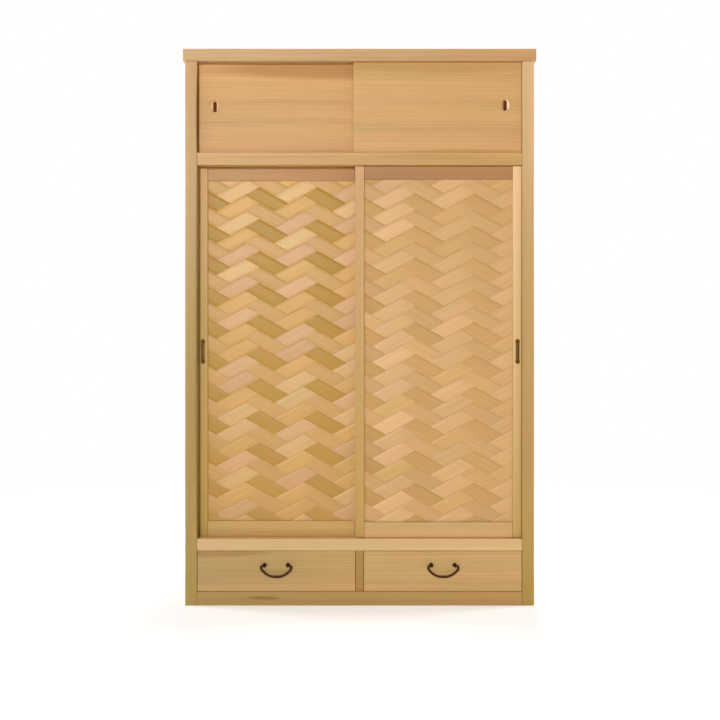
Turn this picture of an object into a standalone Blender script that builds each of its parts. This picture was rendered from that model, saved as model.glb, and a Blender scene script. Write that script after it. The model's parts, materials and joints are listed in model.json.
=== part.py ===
"""Tea ceremony cabinet with woven sliding doors, modelled piece by piece.

Metres, +Z up, front towards -Y. The origin is at the bottom centre of the whole object's box.
Inside the script, y is measured back from the front face of the posts.
"""

import math

import bmesh
import bpy
from mathutils import Vector

# Carcase sizes
BODY_WIDTH = 1.060
BODY_DEPTH = 0.450
HEIGHT = 1.690
TOP_THICKNESS = 0.036
TOP_SIDE_OVERHANG = 0.006
TOP_FRONT_OVERHANG = 0.005
POST_WIDTH = 0.036
POST_DEPTH = 0.070
REAR_POST_DEPTH = 0.036
BOTTOM_RAIL_HEIGHT = 0.042
DRAWER_OPENING_HEIGHT = 0.125
LOWER_SILL_HEIGHT = 0.036
MID_RAIL_HEIGHT = 0.037
UPPER_FLOOR_THICKNESS = 0.012
UPPER_OPENING_HEIGHT = 0.278
SIDE_THICKNESS = 0.024
SIDE_SET_IN = 0.003
SIDE_FOOT_GAP = 0.004
BACK_THICKNESS = 0.009
BACK_SET_IN = 0.015
BACK_RAIL_THICKNESS = 0.024
BACK_RAIL_SET_IN = 0.006
LOWER_FLOOR_THICKNESS = 0.012
BOTTOM_BOARD_THICKNESS = 0.009
BOTTOM_BOARD_HEIGHT = 0.014
SHELF_THICKNESS = 0.015
SHELF_END_GAP = 0.001
SHELF_SET_BACK = 0.008
SHELF_NAMES = ("lower", "upper")
CLEAT_WIDTH = 0.015
CLEAT_HEIGHT = 0.020
CLEAT_SET_BACK = 0.010

# Joinery
FIT = 0.0003
EASE = 0.0012
EASED_ANGLE = 60
SMOOTH_ANGLE = 35
OVERCUT = 0.005
JOIN_INSET = 0.002
WELD = 0.00002
ON_PLANE = 0.0000003
TENON_SHARE = 0.5
TENON_LENGTH = 0.015
TENON_DEPTH = 0.030
TENON_SHOULDER = 0.003
POST_TENON_WIDTH = 0.018
POST_TENON_LENGTH = 0.016
SIDE_TONGUE_THICKNESS = 0.010
SIDE_TONGUE_LENGTH = 0.010
DADO_DEPTH = 0.006
FLOOR_HOUSING = 0.008
BACK_GROOVE_DEPTH = 0.006
DIVIDER_TENON_LENGTH = 0.008

# Sliding door tracks
UPPER_TRACK_LIP = 0.010
LOWER_TRACK_LIP = 0.016
TRACK_GAP = 0.004
GROOVE_WIDTH = 0.010
SLIDE_CLEARANCE = 0.0005
SILL_GROOVE_DEPTH = 0.004
HEAD_GROOVE_DEPTH = 0.012
HEAD_TONGUE = 0.007
DOOR_SHOULDER_GAP = 0.0008

# Upper doors: plain boards with an oblong wooden pull let into each
UPPER_DOOR_THICKNESS = 0.014
UPPER_DOOR_OVERLAP = 0.038
UPPER_PULL_INSET = 0.050
UPPER_PULL_HEIGHT = 0.147
UPPER_PULL_WIDTH = 0.030
UPPER_PULL_LENGTH = 0.038
UPPER_PULL_WALL = 0.001
UPPER_PULL_SIDE_SLOPE = 0.0095
UPPER_PULL_END_SLOPE = 0.004
UPPER_PULL_FLOOR = 0.0015
UPPER_PULL_BEHIND = 0.0035

# Lower doors: stiles and rails round a woven panel, with a long metal pull
LOWER_DOOR_THICKNESS = 0.021
OUTER_STILE_WIDTH = 0.026
MEETING_STILE_WIDTH = 0.028
DOOR_TOP_RAIL_HEIGHT = 0.040
DOOR_BOTTOM_RAIL_HEIGHT = 0.047
DOOR_RAIL_SET_BACK = 0.002
PANEL_GROOVE_DEPTH = 0.006
PANEL_GROOVE_STOP = 0.004
RUNNING_TONGUE_ROOT = 0.006
STUB_STOP = 0.008
LOWER_PULL_INSET = 0.0115
LOWER_PULL_HEIGHT = 0.569
LOWER_PULL_SPACING = 0.062
LOWER_PULL_END_RADIUS = 0.0070
LOWER_PULL_WAIST = 0.0056
LOWER_PULL_PLATE = 0.0012
LOWER_PULL_SLOT_LENGTH = 0.050
LOWER_PULL_SLOT_WIDTH = 0.0082
LOWER_PULL_WALL = 0.001
LOWER_PULL_DEPTH = 0.008
LOWER_PULL_PIN_RADIUS = 0.0042
LOWER_PULL_PIN_CREST = 0.0021
LOWER_PULL_PIN_RISE = 0.0012

# Woven panel: wide strips crossing in a two-over, two-under herringbone
STRIP_RUN = 0.0448
STRIP_RISE = 0.0246
STRIP_SEAM = 0.0008
STRIP_END_RISE = 0.0006
STRIP_CROWN = 0.0020
WEAVE_BACKING = 0.003
WEAVE_START_X = {"left": -0.3538, "right": 0.1268}
WEAVE_START_Z = {"left": 1.2545, "right": 0.8869}

# Drawers
DIVIDER_WIDTH = 0.024
DIVIDER_SET_BACK = 0.006
DRAWER_SET_BACK = 0.002
DRAWER_GAP = 0.001
DRAWER_BACK_GAP = 0.018
DRAWER_FRONT_THICKNESS = 0.018
DRAWER_SIDE_THICKNESS = 0.010
DRAWER_SIDE_DROP = 0.025
DRAWER_SIDE_INSET = 0.0005
DRAWER_LAP = 0.010
DRAWER_BACK_THICKNESS = 0.010
DRAWER_BACK_DROP = 0.006
DRAWER_BOTTOM_THICKNESS = 0.006
DRAWER_BOTTOM_RAISE = 0.008
DRAWER_BOTTOM_GROOVE = 0.005
RUNNER_WIDTH = 0.022
GUIDE_HEIGHT = 0.045

# Bail handles
HANDLE_RISE = 0.019
KNOB_SPACING = 0.071
KNOB_RADIUS = 0.0048
KNOB_FLANGE_RADIUS = 0.0062
KNOB_FLANGE_THICKNESS = 0.0014
KNOB_NECK_RADIUS = 0.0032
KNOB_SHANK_RADIUS = 0.003
KNOB_SHANK_LENGTH = 0.012
BAIL_STAND = 0.013
BAIL_CURL_REACH = 0.0057
BAIL_DROP = 0.0335
BAIL_CURL_DROP = 0.006
BAIL_SHOULDER_INSET = 0.002
BAIL_SHOULDER_DROP = 0.013
BAIL_SWEEP_POINTS = 4
BAIL_PIN_LENGTH = 0.010
BAIL_PIN_RADIUS = 0.0021
BAIL_PIN_CLEARANCE = 0.0004
BAIL_BAR_RADIUS = 0.003
BAIL_ROUND_STEPS = 2

# Facets of round forms
ROUND_STEPS = 16
KNOB_ARC_STEPS = 6
CURL_STEPS = 3

# Levels and places that follow from the sizes
HALF_BODY = BODY_WIDTH / 2
HALF_OPENING = HALF_BODY - POST_WIDTH
HALF_INSIDE = HALF_BODY - SIDE_SET_IN - SIDE_THICKNESS
REAR_SHOULDER = BODY_DEPTH - REAR_POST_DEPTH
BACK_FRONT = BODY_DEPTH - BACK_SET_IN - BACK_THICKNESS
BACK_RAIL_FRONT = BODY_DEPTH - BACK_RAIL_SET_IN - BACK_RAIL_THICKNESS
DRAWER_FLOOR_Z = BOTTOM_RAIL_HEIGHT
SILL_UNDER_Z = DRAWER_FLOOR_Z + DRAWER_OPENING_HEIGHT
SILL_Z = SILL_UNDER_Z + LOWER_SILL_HEIGHT
TOP_UNDER_Z = HEIGHT - TOP_THICKNESS
UPPER_FLOOR_Z = TOP_UNDER_Z - UPPER_OPENING_HEIGHT
HEAD_Z = UPPER_FLOOR_Z - MID_RAIL_HEIGHT
RUNNER_BASE_Z = BOTTOM_BOARD_HEIGHT + BOTTOM_BOARD_THICKNESS + FIT
TONGUE_WIDTH = GROOVE_WIDTH - 2 * SLIDE_CLEARANCE
WEAVE_THICKNESS = WEAVE_BACKING + STRIP_CROWN
PANEL_GROOVE_WIDTH = WEAVE_THICKNESS + 2 * FIT
UPPER_FRONT_TRACK = UPPER_TRACK_LIP + UPPER_DOOR_THICKNESS / 2
UPPER_REAR_TRACK = UPPER_FRONT_TRACK + UPPER_DOOR_THICKNESS + TRACK_GAP
LOWER_FRONT_TRACK = LOWER_TRACK_LIP + LOWER_DOOR_THICKNESS / 2
LOWER_REAR_TRACK = LOWER_FRONT_TRACK + LOWER_DOOR_THICKNESS + TRACK_GAP
UPPER_PULL_DEPTH = UPPER_DOOR_THICKNESS - UPPER_PULL_BEHIND - UPPER_PULL_FLOOR
DRAWER_SIDE_HEIGHT = DRAWER_OPENING_HEIGHT - DRAWER_SIDE_DROP - FIT
DRAWER_BACK_Y = BACK_RAIL_FRONT - DRAWER_BACK_GAP
BAIL_Y = DRAWER_SET_BACK - BAIL_STAND
BAIL_HALF_WIDTH = KNOB_SPACING / 2 + KNOB_RADIUS + BAIL_CURL_REACH
FRONT_REACH = max(TOP_FRONT_OVERHANG, KNOB_RADIUS - BAIL_Y)
FACE_Y = (FRONT_REACH - BODY_DEPTH) / 2
SIDES = {"left": -1, "right": 1}
UPPER_TRACKS = {"left": UPPER_REAR_TRACK, "right": UPPER_FRONT_TRACK}
LOWER_TRACKS = {"left": LOWER_REAR_TRACK, "right": LOWER_FRONT_TRACK}


def clear_scene():
    """Start from an empty scene."""
    for old in list(bpy.data.objects):
        bpy.data.objects.remove(old, do_unlink=True)


def finish(name, color, roughness, metallic=0.0):
    """Principled material of one colour."""
    material = bpy.data.materials.new(name)
    material.use_nodes = True
    shader = material.node_tree.nodes["Principled BSDF"]
    shader.inputs["Base Color"].default_value = (*color, 1.0)
    shader.inputs["Roughness"].default_value = roughness
    shader.inputs["Metallic"].default_value = metallic
    return material


def body_group(name, place, parent=None):
    """Empty that carries one rigid body; place is where it stands in the cabinet."""
    empty = bpy.data.objects.new(name, None)
    bpy.context.collection.objects.link(empty)
    empty["place"] = list(place)
    empty.parent = parent
    empty.location = Vector(place) - Vector(parent["place"]) if parent else Vector((0, FACE_Y, 0))
    return empty


def add_box(shape, low, high):
    """Closed box between two corners given in any order."""
    made = bmesh.ops.create_cube(shape, size=1.0)["verts"]
    ranges = [sorted(pair) for pair in zip(low, high)]
    for vert in made:
        vert.co = Vector([a + (b - a) * (c + 0.5) for (a, b), c in zip(ranges, vert.co)])
    return shape


def box(low, high):
    """New shape holding one box."""
    return add_box(bmesh.new(), low, high)


def boxes(corners):
    """New shape holding several boxes that don't touch."""
    shape = bmesh.new()
    for low, high in corners:
        add_box(shape, low, high)
    return shape


def add_prism(shape, outline, axis, low, high, far_outline=None):
    """Outline across an axis carried from low to high, to a second outline if one is given."""
    place = {
        "X": lambda u, v, t: (t, u, v),
        "Y": lambda u, v, t: (u, t, v),
        "Z": lambda u, v, t: (u, v, t),
    }[axis]
    near = [shape.verts.new(place(u, v, low)) for u, v in outline]
    far = [shape.verts.new(place(u, v, high)) for u, v in far_outline or outline]
    shape.faces.new(near)
    shape.faces.new(far)
    for i in range(len(near)):
        k = (i + 1) % len(near)
        shape.faces.new((near[i], near[k], far[k], far[i]))
    return shape


def prism(outline, axis, low, high, far_outline=None):
    """New shape holding one prism."""
    return add_prism(bmesh.new(), outline, axis, low, high, far_outline)


def arc(center, radius, start, end, steps):
    """Points on an arc, angles in degrees."""
    angles = [math.radians(start + (end - start) * i / steps) for i in range(steps + 1)]
    return [(center[0] + radius * math.cos(a), center[1] + radius * math.sin(a)) for a in angles]


def circle(center, radius):
    """Closed round outline."""
    return arc(center, radius, 0, 360, ROUND_STEPS)[:-1]


def oblong(center, width, length):
    """Upright outline with straight sides and round ends."""
    radius = width / 2
    reach = length / 2 - radius
    steps = ROUND_STEPS // 2
    upper = arc((center[0], center[1] + reach), radius, 0, 180, steps)
    lower = arc((center[0], center[1] - reach), radius, 180, 360, steps)
    return upper + lower


def mirrored(right_half):
    """Outline from its right half, mirrored across x = 0."""
    return right_half + [(-x, y) for x, y in reversed(right_half)]


def place_object(name, shape, group):
    """Object with its origin at the middle of its shape and its outer corners marked, in a group."""
    shape.normal_update()
    bmesh.ops.recalc_face_normals(shape, faces=shape.faces)
    weight = shape.edges.layers.float.new("bevel_weight_edge")
    for edge in shape.edges:
        edge[weight] = float(edge.calc_face_angle_signed() > math.radians(EASED_ANGLE))
    lows = [min(v.co[i] for v in shape.verts) for i in range(3)]
    highs = [max(v.co[i] for v in shape.verts) for i in range(3)]
    middle = (Vector(lows) + Vector(highs)) / 2
    bmesh.ops.translate(shape, vec=-middle, verts=shape.verts)
    mesh = bpy.data.meshes.new(name)
    shape.to_mesh(mesh)
    shape.free()
    made = bpy.data.objects.new(name, mesh)
    bpy.context.collection.objects.link(made)
    made.parent = group
    made.location = middle - Vector(group["place"])
    return made


def combine(target, operation, shape):
    """Boolean of a hidden shape on a piece."""
    tool = place_object(f"{target.name}_{operation.lower()}", shape, target.parent)
    tool.hide_render = True
    tool.display_type = "WIRE"
    step = target.modifiers.new(operation.title(), "BOOLEAN")
    step.operation = operation
    step.object = tool
    step.solver = "EXACT"


def piece(name, shape, material, group, ease=EASE, joins=(), cuts=None, smooth=False):
    """One sub-part: its shape with eased edges, then what is joined to it and cut from it."""
    made = place_object(name, shape, group)
    made.data.materials.append(material)
    if smooth:
        made.data.shade_smooth()
        made.data.set_sharp_from_angle(angle=math.radians(SMOOTH_ANGLE))
    if ease:
        bevel = made.modifiers.new("Eased edges", "BEVEL")
        bevel.width = ease
        bevel.segments = 1
        bevel.limit_method = "WEIGHT"
    for joined in joins:
        combine(made, "UNION", joined)
    if cuts:
        combine(made, "DIFFERENCE", cuts)
    return made


def track_grooves(tracks, low_z, high_z):
    """Corners of the two grooves that a pair of doors runs in."""
    reach = HALF_OPENING + FIT
    half = GROOVE_WIDTH / 2
    return [((-reach, y - half, low_z), (reach, y + half, high_z)) for y in tracks.values()]


def rail_tenon(low_z, high_z, middle_y, growth=0.0):
    """Corners of the tenons at both ends of a rail, grown by the fit for their mortises."""
    reach = HALF_OPENING + TENON_LENGTH + growth
    half = TENON_DEPTH / 2 + growth
    return ((-reach, middle_y - half, low_z - growth), (reach, middle_y + half, high_z + growth))


FRONT_TENONS = {
    "mid_rail": (
        HEAD_Z + HEAD_GROOVE_DEPTH + TENON_SHOULDER / 2,
        UPPER_FLOOR_Z - UPPER_FLOOR_THICKNESS - TENON_SHOULDER / 2,
    ),
    "lower_sill": (SILL_UNDER_Z + TENON_SHOULDER, SILL_Z - LOWER_FLOOR_THICKNESS - TENON_SHOULDER),
    "bottom_front_rail": (
        BOTTOM_BOARD_HEIGHT + BOTTOM_BOARD_THICKNESS + TENON_SHOULDER,
        DRAWER_FLOOR_Z - TENON_SHOULDER,
    ),
}


def post_tenon(side, front, depth, growth=0.0):
    """Corners of the tenon at the head of a post."""
    middle = side * (HALF_BODY - POST_WIDTH / 2)
    half = POST_TENON_WIDTH / 2 + growth
    reach = POST_TENON_LENGTH + growth
    inset = depth * (1 - TENON_SHARE) / 2 - growth
    return (
        (middle - half, front + inset, TOP_UNDER_Z - OVERCUT),
        (middle + half, front + depth - inset, TOP_UNDER_Z + reach),
    )


def top_board(wood, group):
    """Top board with head grooves for the upper doors and mortises for the posts."""
    shape = box(
        (-HALF_BODY - TOP_SIDE_OVERHANG, -TOP_FRONT_OVERHANG, TOP_UNDER_Z),
        (HALF_BODY + TOP_SIDE_OVERHANG, BODY_DEPTH, HEIGHT),
    )
    cuts = track_grooves(UPPER_TRACKS, TOP_UNDER_Z - OVERCUT, TOP_UNDER_Z + HEAD_GROOVE_DEPTH)
    for side in SIDES.values():
        cuts.append(post_tenon(side, 0, POST_DEPTH, FIT))
        cuts.append(post_tenon(side, REAR_SHOULDER, REAR_POST_DEPTH, FIT))
    cuts.append(
        (
            (-HALF_OPENING, BACK_FRONT - FIT, TOP_UNDER_Z - OVERCUT),
            (HALF_OPENING, BACK_FRONT + BACK_THICKNESS + FIT, TOP_UNDER_Z + BACK_GROOVE_DEPTH),
        )
    )
    piece("top_board", shape, wood, group, cuts=boxes(cuts))


def side_tongue_groove(side, shoulder, direction):
    """Corners of the groove in a post that takes the side board's tongue."""
    middle = side * (HALF_INSIDE + SIDE_THICKNESS / 2)
    half = SIDE_TONGUE_THICKNESS / 2 + FIT
    return (
        (middle - half, shoulder - direction * OVERCUT, -OVERCUT),
        (middle + half, shoulder + direction * (SIDE_TONGUE_LENGTH + FIT), TOP_UNDER_Z + OVERCUT / 2),
    )


def post(name, side, wood, group):
    """Front post: mortises for the three front rails and a groove for the side board."""
    shape = box((side * HALF_OPENING, 0, 0), (side * HALF_BODY, POST_DEPTH, TOP_UNDER_Z - FIT))
    cuts = [side_tongue_groove(side, POST_DEPTH, -1)]
    for low_z, high_z in FRONT_TENONS.values():
        low, high = rail_tenon(low_z, high_z, POST_DEPTH / 2, FIT)
        reach = side * high[0]
        cuts.append(((side * (HALF_OPENING - OVERCUT), low[1], low[2]), (reach, high[1], high[2])))
    tenon = box(*post_tenon(side, 0, POST_DEPTH))
    piece(name, shape, wood, group, joins=[tenon], cuts=boxes(cuts))


def rear_post(name, side, wood, group):
    """Rear post: grooves for the side board and the back panel, and a mortise for the back rail."""
    shape = box(
        (side * HALF_OPENING, REAR_SHOULDER, 0), (side * HALF_BODY, BODY_DEPTH, TOP_UNDER_Z - FIT)
    )
    mouth = side * (HALF_OPENING - OVERCUT)
    rail_low, rail_high = back_rail_tenon(FIT)
    cuts = [
        side_tongue_groove(side, REAR_SHOULDER, 1),
        (
            (mouth, BACK_FRONT - FIT, DRAWER_FLOOR_Z - BACK_GROOVE_DEPTH),
            (
                side * (HALF_OPENING + BACK_GROOVE_DEPTH),
                BACK_FRONT + BACK_THICKNESS + FIT,
                TOP_UNDER_Z + OVERCUT / 2,
            ),
        ),
        ((mouth, rail_low[1], rail_low[2]), (side * rail_high[0], rail_high[1], rail_high[2])),
    ]
    tenon = box(*post_tenon(side, REAR_SHOULDER, REAR_POST_DEPTH))
    piece(name, shape, wood, group, joins=[tenon], cuts=boxes(cuts))


def back_rail_tenon(growth=0.0):
    """Corners of the back rail's tenons, below the groove that holds the back panel."""
    reach = HALF_OPENING + BACK_GROOVE_DEPTH + growth
    middle = BACK_RAIL_FRONT + BACK_RAIL_THICKNESS / 2
    half = BACK_RAIL_THICKNESS * TENON_SHARE / 2 + growth
    high_z = BOTTOM_BOARD_HEIGHT - TENON_SHOULDER
    return (
        (-reach, middle - half, TENON_SHOULDER - growth),
        (reach, middle + half, high_z + growth),
    )


def back_bottom_rail(wood, group):
    """Rail between the rear posts, grooved for the back panel and the bottom board."""
    reach = HALF_OPENING - FIT
    shape = box(
        (-reach, BACK_RAIL_FRONT, 0), (reach, BACK_RAIL_FRONT + BACK_RAIL_THICKNESS, DRAWER_FLOOR_Z)
    )
    cuts = [
        (
            (-HALF_BODY, BACK_FRONT - FIT, DRAWER_FLOOR_Z - BACK_GROOVE_DEPTH),
            (HALF_BODY, BACK_FRONT + BACK_THICKNESS + FIT, DRAWER_FLOOR_Z + OVERCUT),
        ),
        (
            (-HALF_BODY, BACK_RAIL_FRONT - OVERCUT, BOTTOM_BOARD_HEIGHT - FIT),
            (HALF_BODY, BACK_RAIL_FRONT + DADO_DEPTH, RUNNER_BASE_Z),
        ),
    ]
    piece(
        "back_bottom_rail", shape, wood, group, joins=[box(*back_rail_tenon())], cuts=boxes(cuts)
    )


def back_panel(wood, group):
    """Thin back panel held in grooves all round."""
    reach = HALF_OPENING + BACK_GROOVE_DEPTH - FIT
    shape = box(
        (-reach, BACK_FRONT, DRAWER_FLOOR_Z - BACK_GROOVE_DEPTH + FIT),
        (reach, BACK_FRONT + BACK_THICKNESS, TOP_UNDER_Z - FIT),
    )
    crest = box(
        (-HALF_OPENING + FIT, BACK_FRONT + JOIN_INSET / 2, TOP_UNDER_Z - OVERCUT),
        (
            HALF_OPENING - FIT,
            BACK_FRONT + BACK_THICKNESS - JOIN_INSET / 2,
            TOP_UNDER_Z + BACK_GROOVE_DEPTH - FIT,
        ),
    )
    piece("back_panel", shape, wood, group, joins=[crest])


FLOORS = {
    "upper_floor_board": (UPPER_FLOOR_Z, UPPER_FLOOR_THICKNESS),
    "lower_floor_board": (SILL_Z, LOWER_FLOOR_THICKNESS),
    "bottom_board": (BOTTOM_BOARD_HEIGHT + BOTTOM_BOARD_THICKNESS, BOTTOM_BOARD_THICKNESS),
}


def side_board(name, side, wood, group):
    """Side board tongued into both posts, with a dado for each of the three floors."""
    inner, outer = side * HALF_INSIDE, side * (HALF_INSIDE + SIDE_THICKNESS)
    middle = (inner + outer) / 2
    half = side * SIDE_TONGUE_THICKNESS / 2
    front, rear = POST_DEPTH + FIT, REAR_SHOULDER - FIT
    front_tip = POST_DEPTH - SIDE_TONGUE_LENGTH
    rear_tip = REAR_SHOULDER + SIDE_TONGUE_LENGTH
    outline = [
        (inner, front),
        (middle - half, front),
        (middle - half, front_tip),
        (middle + half, front_tip),
        (middle + half, front),
        (outer, front),
        (outer, rear),
        (middle + half, rear),
        (middle + half, rear_tip),
        (middle - half, rear_tip),
        (middle - half, rear),
        (inner, rear),
    ]
    shape = prism(outline, "Z", SIDE_FOOT_GAP, TOP_UNDER_Z - FIT)
    cuts = [
        (
            (side * (HALF_INSIDE - OVERCUT), POST_DEPTH - OVERCUT, top_z - thickness - FIT),
            (side * (HALF_INSIDE + DADO_DEPTH), REAR_SHOULDER + OVERCUT, top_z + FIT),
        )
        for top_z, thickness in FLOORS.values()
    ]
    piece(name, shape, wood, group, ease=0, cuts=boxes(cuts))


def front_rail(name, low_z, high_z, wood, group, cuts):
    """Rail between the front posts with a tenon at each end."""
    reach = HALF_OPENING - FIT
    shape = box((-reach, 0, low_z), (reach, POST_DEPTH, high_z))
    tenon_low, tenon_high = FRONT_TENONS[name]
    tenons = box(*rail_tenon(tenon_low, tenon_high, POST_DEPTH / 2))
    piece(name, shape, wood, group, joins=[tenons], cuts=boxes(cuts))


def divider_tenon(growth=0.0):
    """Corners of the divider's tenons into the sill and the bottom rail."""
    half = DIVIDER_WIDTH * TENON_SHARE / 2 + growth
    deep = TENON_DEPTH / 2 + growth
    reach = DIVIDER_TENON_LENGTH + growth
    return (
        (-half, POST_DEPTH / 2 - deep, DRAWER_FLOOR_Z - reach),
        (half, POST_DEPTH / 2 + deep, SILL_UNDER_Z + reach),
    )


def sill_cutters(tracks, top_z, floor_thickness):
    """Corners of the door grooves in a rail's top and of the housing for the floor board behind it."""
    housing = (
        (-HALF_BODY, POST_DEPTH - FLOOR_HOUSING, top_z - floor_thickness - FIT),
        (HALF_BODY, POST_DEPTH + OVERCUT, top_z + OVERCUT),
    )
    return track_grooves(tracks, top_z - SILL_GROOVE_DEPTH, top_z + OVERCUT) + [housing]


def front_rails(wood, group):
    """Mid rail, lower sill and bottom rail, with their grooves, and the drawer divider."""
    tenon_low, tenon_high = divider_tenon(FIT)
    mid_cuts = sill_cutters(UPPER_TRACKS, UPPER_FLOOR_Z, UPPER_FLOOR_THICKNESS)
    mid_cuts += track_grooves(LOWER_TRACKS, HEAD_Z - OVERCUT, HEAD_Z + HEAD_GROOVE_DEPTH)
    front_rail("mid_rail", HEAD_Z, UPPER_FLOOR_Z, wood["mid_rail"], group, mid_cuts)
    sill_cuts = sill_cutters(LOWER_TRACKS, SILL_Z, LOWER_FLOOR_THICKNESS)
    sill_cuts.append(((tenon_low[0], tenon_low[1], SILL_UNDER_Z - OVERCUT), tenon_high))
    front_rail("lower_sill", SILL_UNDER_Z, SILL_Z, wood["lower_sill"], group, sill_cuts)
    bottom_cuts = [
        (
            (-HALF_BODY, POST_DEPTH - FLOOR_HOUSING, BOTTOM_BOARD_HEIGHT - FIT),
            (HALF_BODY, POST_DEPTH + OVERCUT, RUNNER_BASE_Z),
        ),
        (tenon_low, (tenon_high[0], tenon_high[1], DRAWER_FLOOR_Z + OVERCUT)),
    ]
    front_rail("bottom_front_rail", 0, DRAWER_FLOOR_Z, wood["bottom_front_rail"], group, bottom_cuts)
    half = DIVIDER_WIDTH / 2
    divider = box(
        (-half, DIVIDER_SET_BACK, DRAWER_FLOOR_Z + FIT), (half, POST_DEPTH, SILL_UNDER_Z - FIT)
    )
    piece("drawer_divider", divider, wood["divider"], group, joins=[box(*divider_tenon())])


def floors(wood, group):
    """Upper floor, the floor over the drawers, and the bottom board, each housed in a front rail."""
    narrow = HALF_OPENING - FIT
    wide = HALF_INSIDE + DADO_DEPTH - FIT
    housed = POST_DEPTH - FLOOR_HOUSING + FIT
    ends = {
        "upper_floor_board": BACK_FRONT - FIT,
        "lower_floor_board": BACK_FRONT - FIT,
        "bottom_board": BACK_RAIL_FRONT + DADO_DEPTH - FIT,
    }
    for name, back in ends.items():
        top_z, thickness = FLOORS[name]
        outline = mirrored(
            [
                (narrow, housed),
                (narrow, POST_DEPTH + FIT),
                (wide, POST_DEPTH + FIT),
                (wide, REAR_SHOULDER - FIT),
                (narrow, REAR_SHOULDER - FIT),
                (narrow, back),
            ]
        )
        shape = prism(outline, "Z", top_z - thickness, top_z)
        piece(name, shape, wood, group, ease=0)


def shelves(wood, group):
    """Two loose shelves, each on a cleat screwed to either side board."""
    front = POST_DEPTH + SHELF_SET_BACK
    wide = HALF_INSIDE - SHELF_END_GAP
    narrow = HALF_OPENING - SHELF_END_GAP
    outline = mirrored(
        [
            (wide, front),
            (wide, REAR_SHOULDER - SHELF_END_GAP),
            (narrow, REAR_SHOULDER - SHELF_END_GAP),
            (narrow, BACK_FRONT - SHELF_END_GAP),
        ]
    )
    spacing = (HEAD_Z - SILL_Z) / (len(SHELF_NAMES) + 1)
    for count, label in enumerate(SHELF_NAMES, 1):
        under_z = SILL_Z + spacing * count - SHELF_THICKNESS
        shape = prism(outline, "Z", under_z, under_z + SHELF_THICKNESS)
        piece(f"{label}_shelf", shape, wood, group)
        for name, side in SIDES.items():
            cleat = box(
                (side * (HALF_INSIDE - FIT), front + CLEAT_SET_BACK, under_z - FIT),
                (
                    side * (HALF_INSIDE - FIT - CLEAT_WIDTH),
                    REAR_SHOULDER - CLEAT_SET_BACK,
                    under_z - FIT - CLEAT_HEIGHT,
                ),
            )
            piece(f"{label}_shelf_{name}_cleat", cleat, wood, group)


def drawer_runners(wood, group):
    """Runners with guide fins on the bottom board: one at either side and one between the drawers."""
    front = POST_DEPTH + FIT
    guide_z = DRAWER_FLOOR_Z + GUIDE_HEIGHT
    for name, side in SIDES.items():
        wall = side * (HALF_INSIDE - FIT)
        fin = side * HALF_OPENING
        ledge = side * (HALF_OPENING - RUNNER_WIDTH)
        outline = [
            (wall, RUNNER_BASE_Z),
            (ledge, RUNNER_BASE_Z),
            (ledge, DRAWER_FLOOR_Z),
            (fin, DRAWER_FLOOR_Z),
            (fin, guide_z),
            (wall, guide_z),
        ]
        shape = prism(outline, "Y", front, REAR_SHOULDER - FIT)
        piece(f"{name}_drawer_runner", shape, wood, group)
    fin = DIVIDER_WIDTH / 2
    outline = mirrored(
        [
            (fin + RUNNER_WIDTH, RUNNER_BASE_Z),
            (fin + RUNNER_WIDTH, DRAWER_FLOOR_Z),
            (fin, DRAWER_FLOOR_Z),
            (fin, guide_z),
        ]
    )
    shape = prism(outline, "Y", front, BACK_RAIL_FRONT - FIT)
    piece("centre_drawer_runner", shape, wood, group)


def upper_door(name, side, woods, carcase):
    """Plain board door with running tongues and an oblong wooden pull let into it."""
    track = UPPER_TRACKS[name]
    half = UPPER_DOOR_THICKNESS / 2
    tongue = TONGUE_WIDTH / 2
    outer, inner = side * (HALF_OPENING - FIT), -side * UPPER_DOOR_OVERLAP / 2
    group = body_group(f"upper_{name}_door_body", ((outer + inner) / 2, track, UPPER_FLOOR_Z), carcase)
    shape = box(
        (outer, track - half, UPPER_FLOOR_Z + DOOR_SHOULDER_GAP),
        (inner, track + half, TOP_UNDER_Z - DOOR_SHOULDER_GAP),
    )
    tongues = box(
        (outer - side * JOIN_INSET, track - tongue, UPPER_FLOOR_Z - SILL_GROOVE_DEPTH + FIT),
        (inner + side * JOIN_INSET, track + tongue, TOP_UNDER_Z + HEAD_TONGUE),
    )
    center = (side * (HALF_OPENING - UPPER_PULL_INSET), UPPER_FLOOR_Z + UPPER_PULL_HEIGHT)
    face = track - half
    floor_y = face + UPPER_PULL_DEPTH + UPPER_PULL_FLOOR
    pocket = oblong(center, UPPER_PULL_WIDTH + 2 * FIT, UPPER_PULL_LENGTH + 2 * FIT)
    cut = prism(pocket, "Y", face - OVERCUT, floor_y + FIT)
    piece(f"upper_{name}_door", shape, woods["door_board"], group, joins=[tongues], cuts=cut)
    cup = prism(oblong(center, UPPER_PULL_WIDTH, UPPER_PULL_LENGTH), "Y", face, floor_y)
    well_width = UPPER_PULL_WIDTH - 2 * (UPPER_PULL_WALL + UPPER_PULL_SIDE_SLOPE)
    well_length = UPPER_PULL_LENGTH - 2 * (UPPER_PULL_WALL + UPPER_PULL_END_SLOPE)
    reach = 2 * (1 + OVERCUT / UPPER_PULL_DEPTH)
    mouth_width = well_width + reach * UPPER_PULL_SIDE_SLOPE
    mouth_length = well_length + reach * UPPER_PULL_END_SLOPE
    mouth = oblong(center, mouth_width, mouth_length)
    well = oblong(center, well_width, well_length)
    recess = prism(mouth, "Y", face - OVERCUT, face + UPPER_PULL_DEPTH, well)
    piece(f"upper_{name}_pull", cup, woods["pull_wood"], group, ease=0, cuts=recess)


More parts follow.
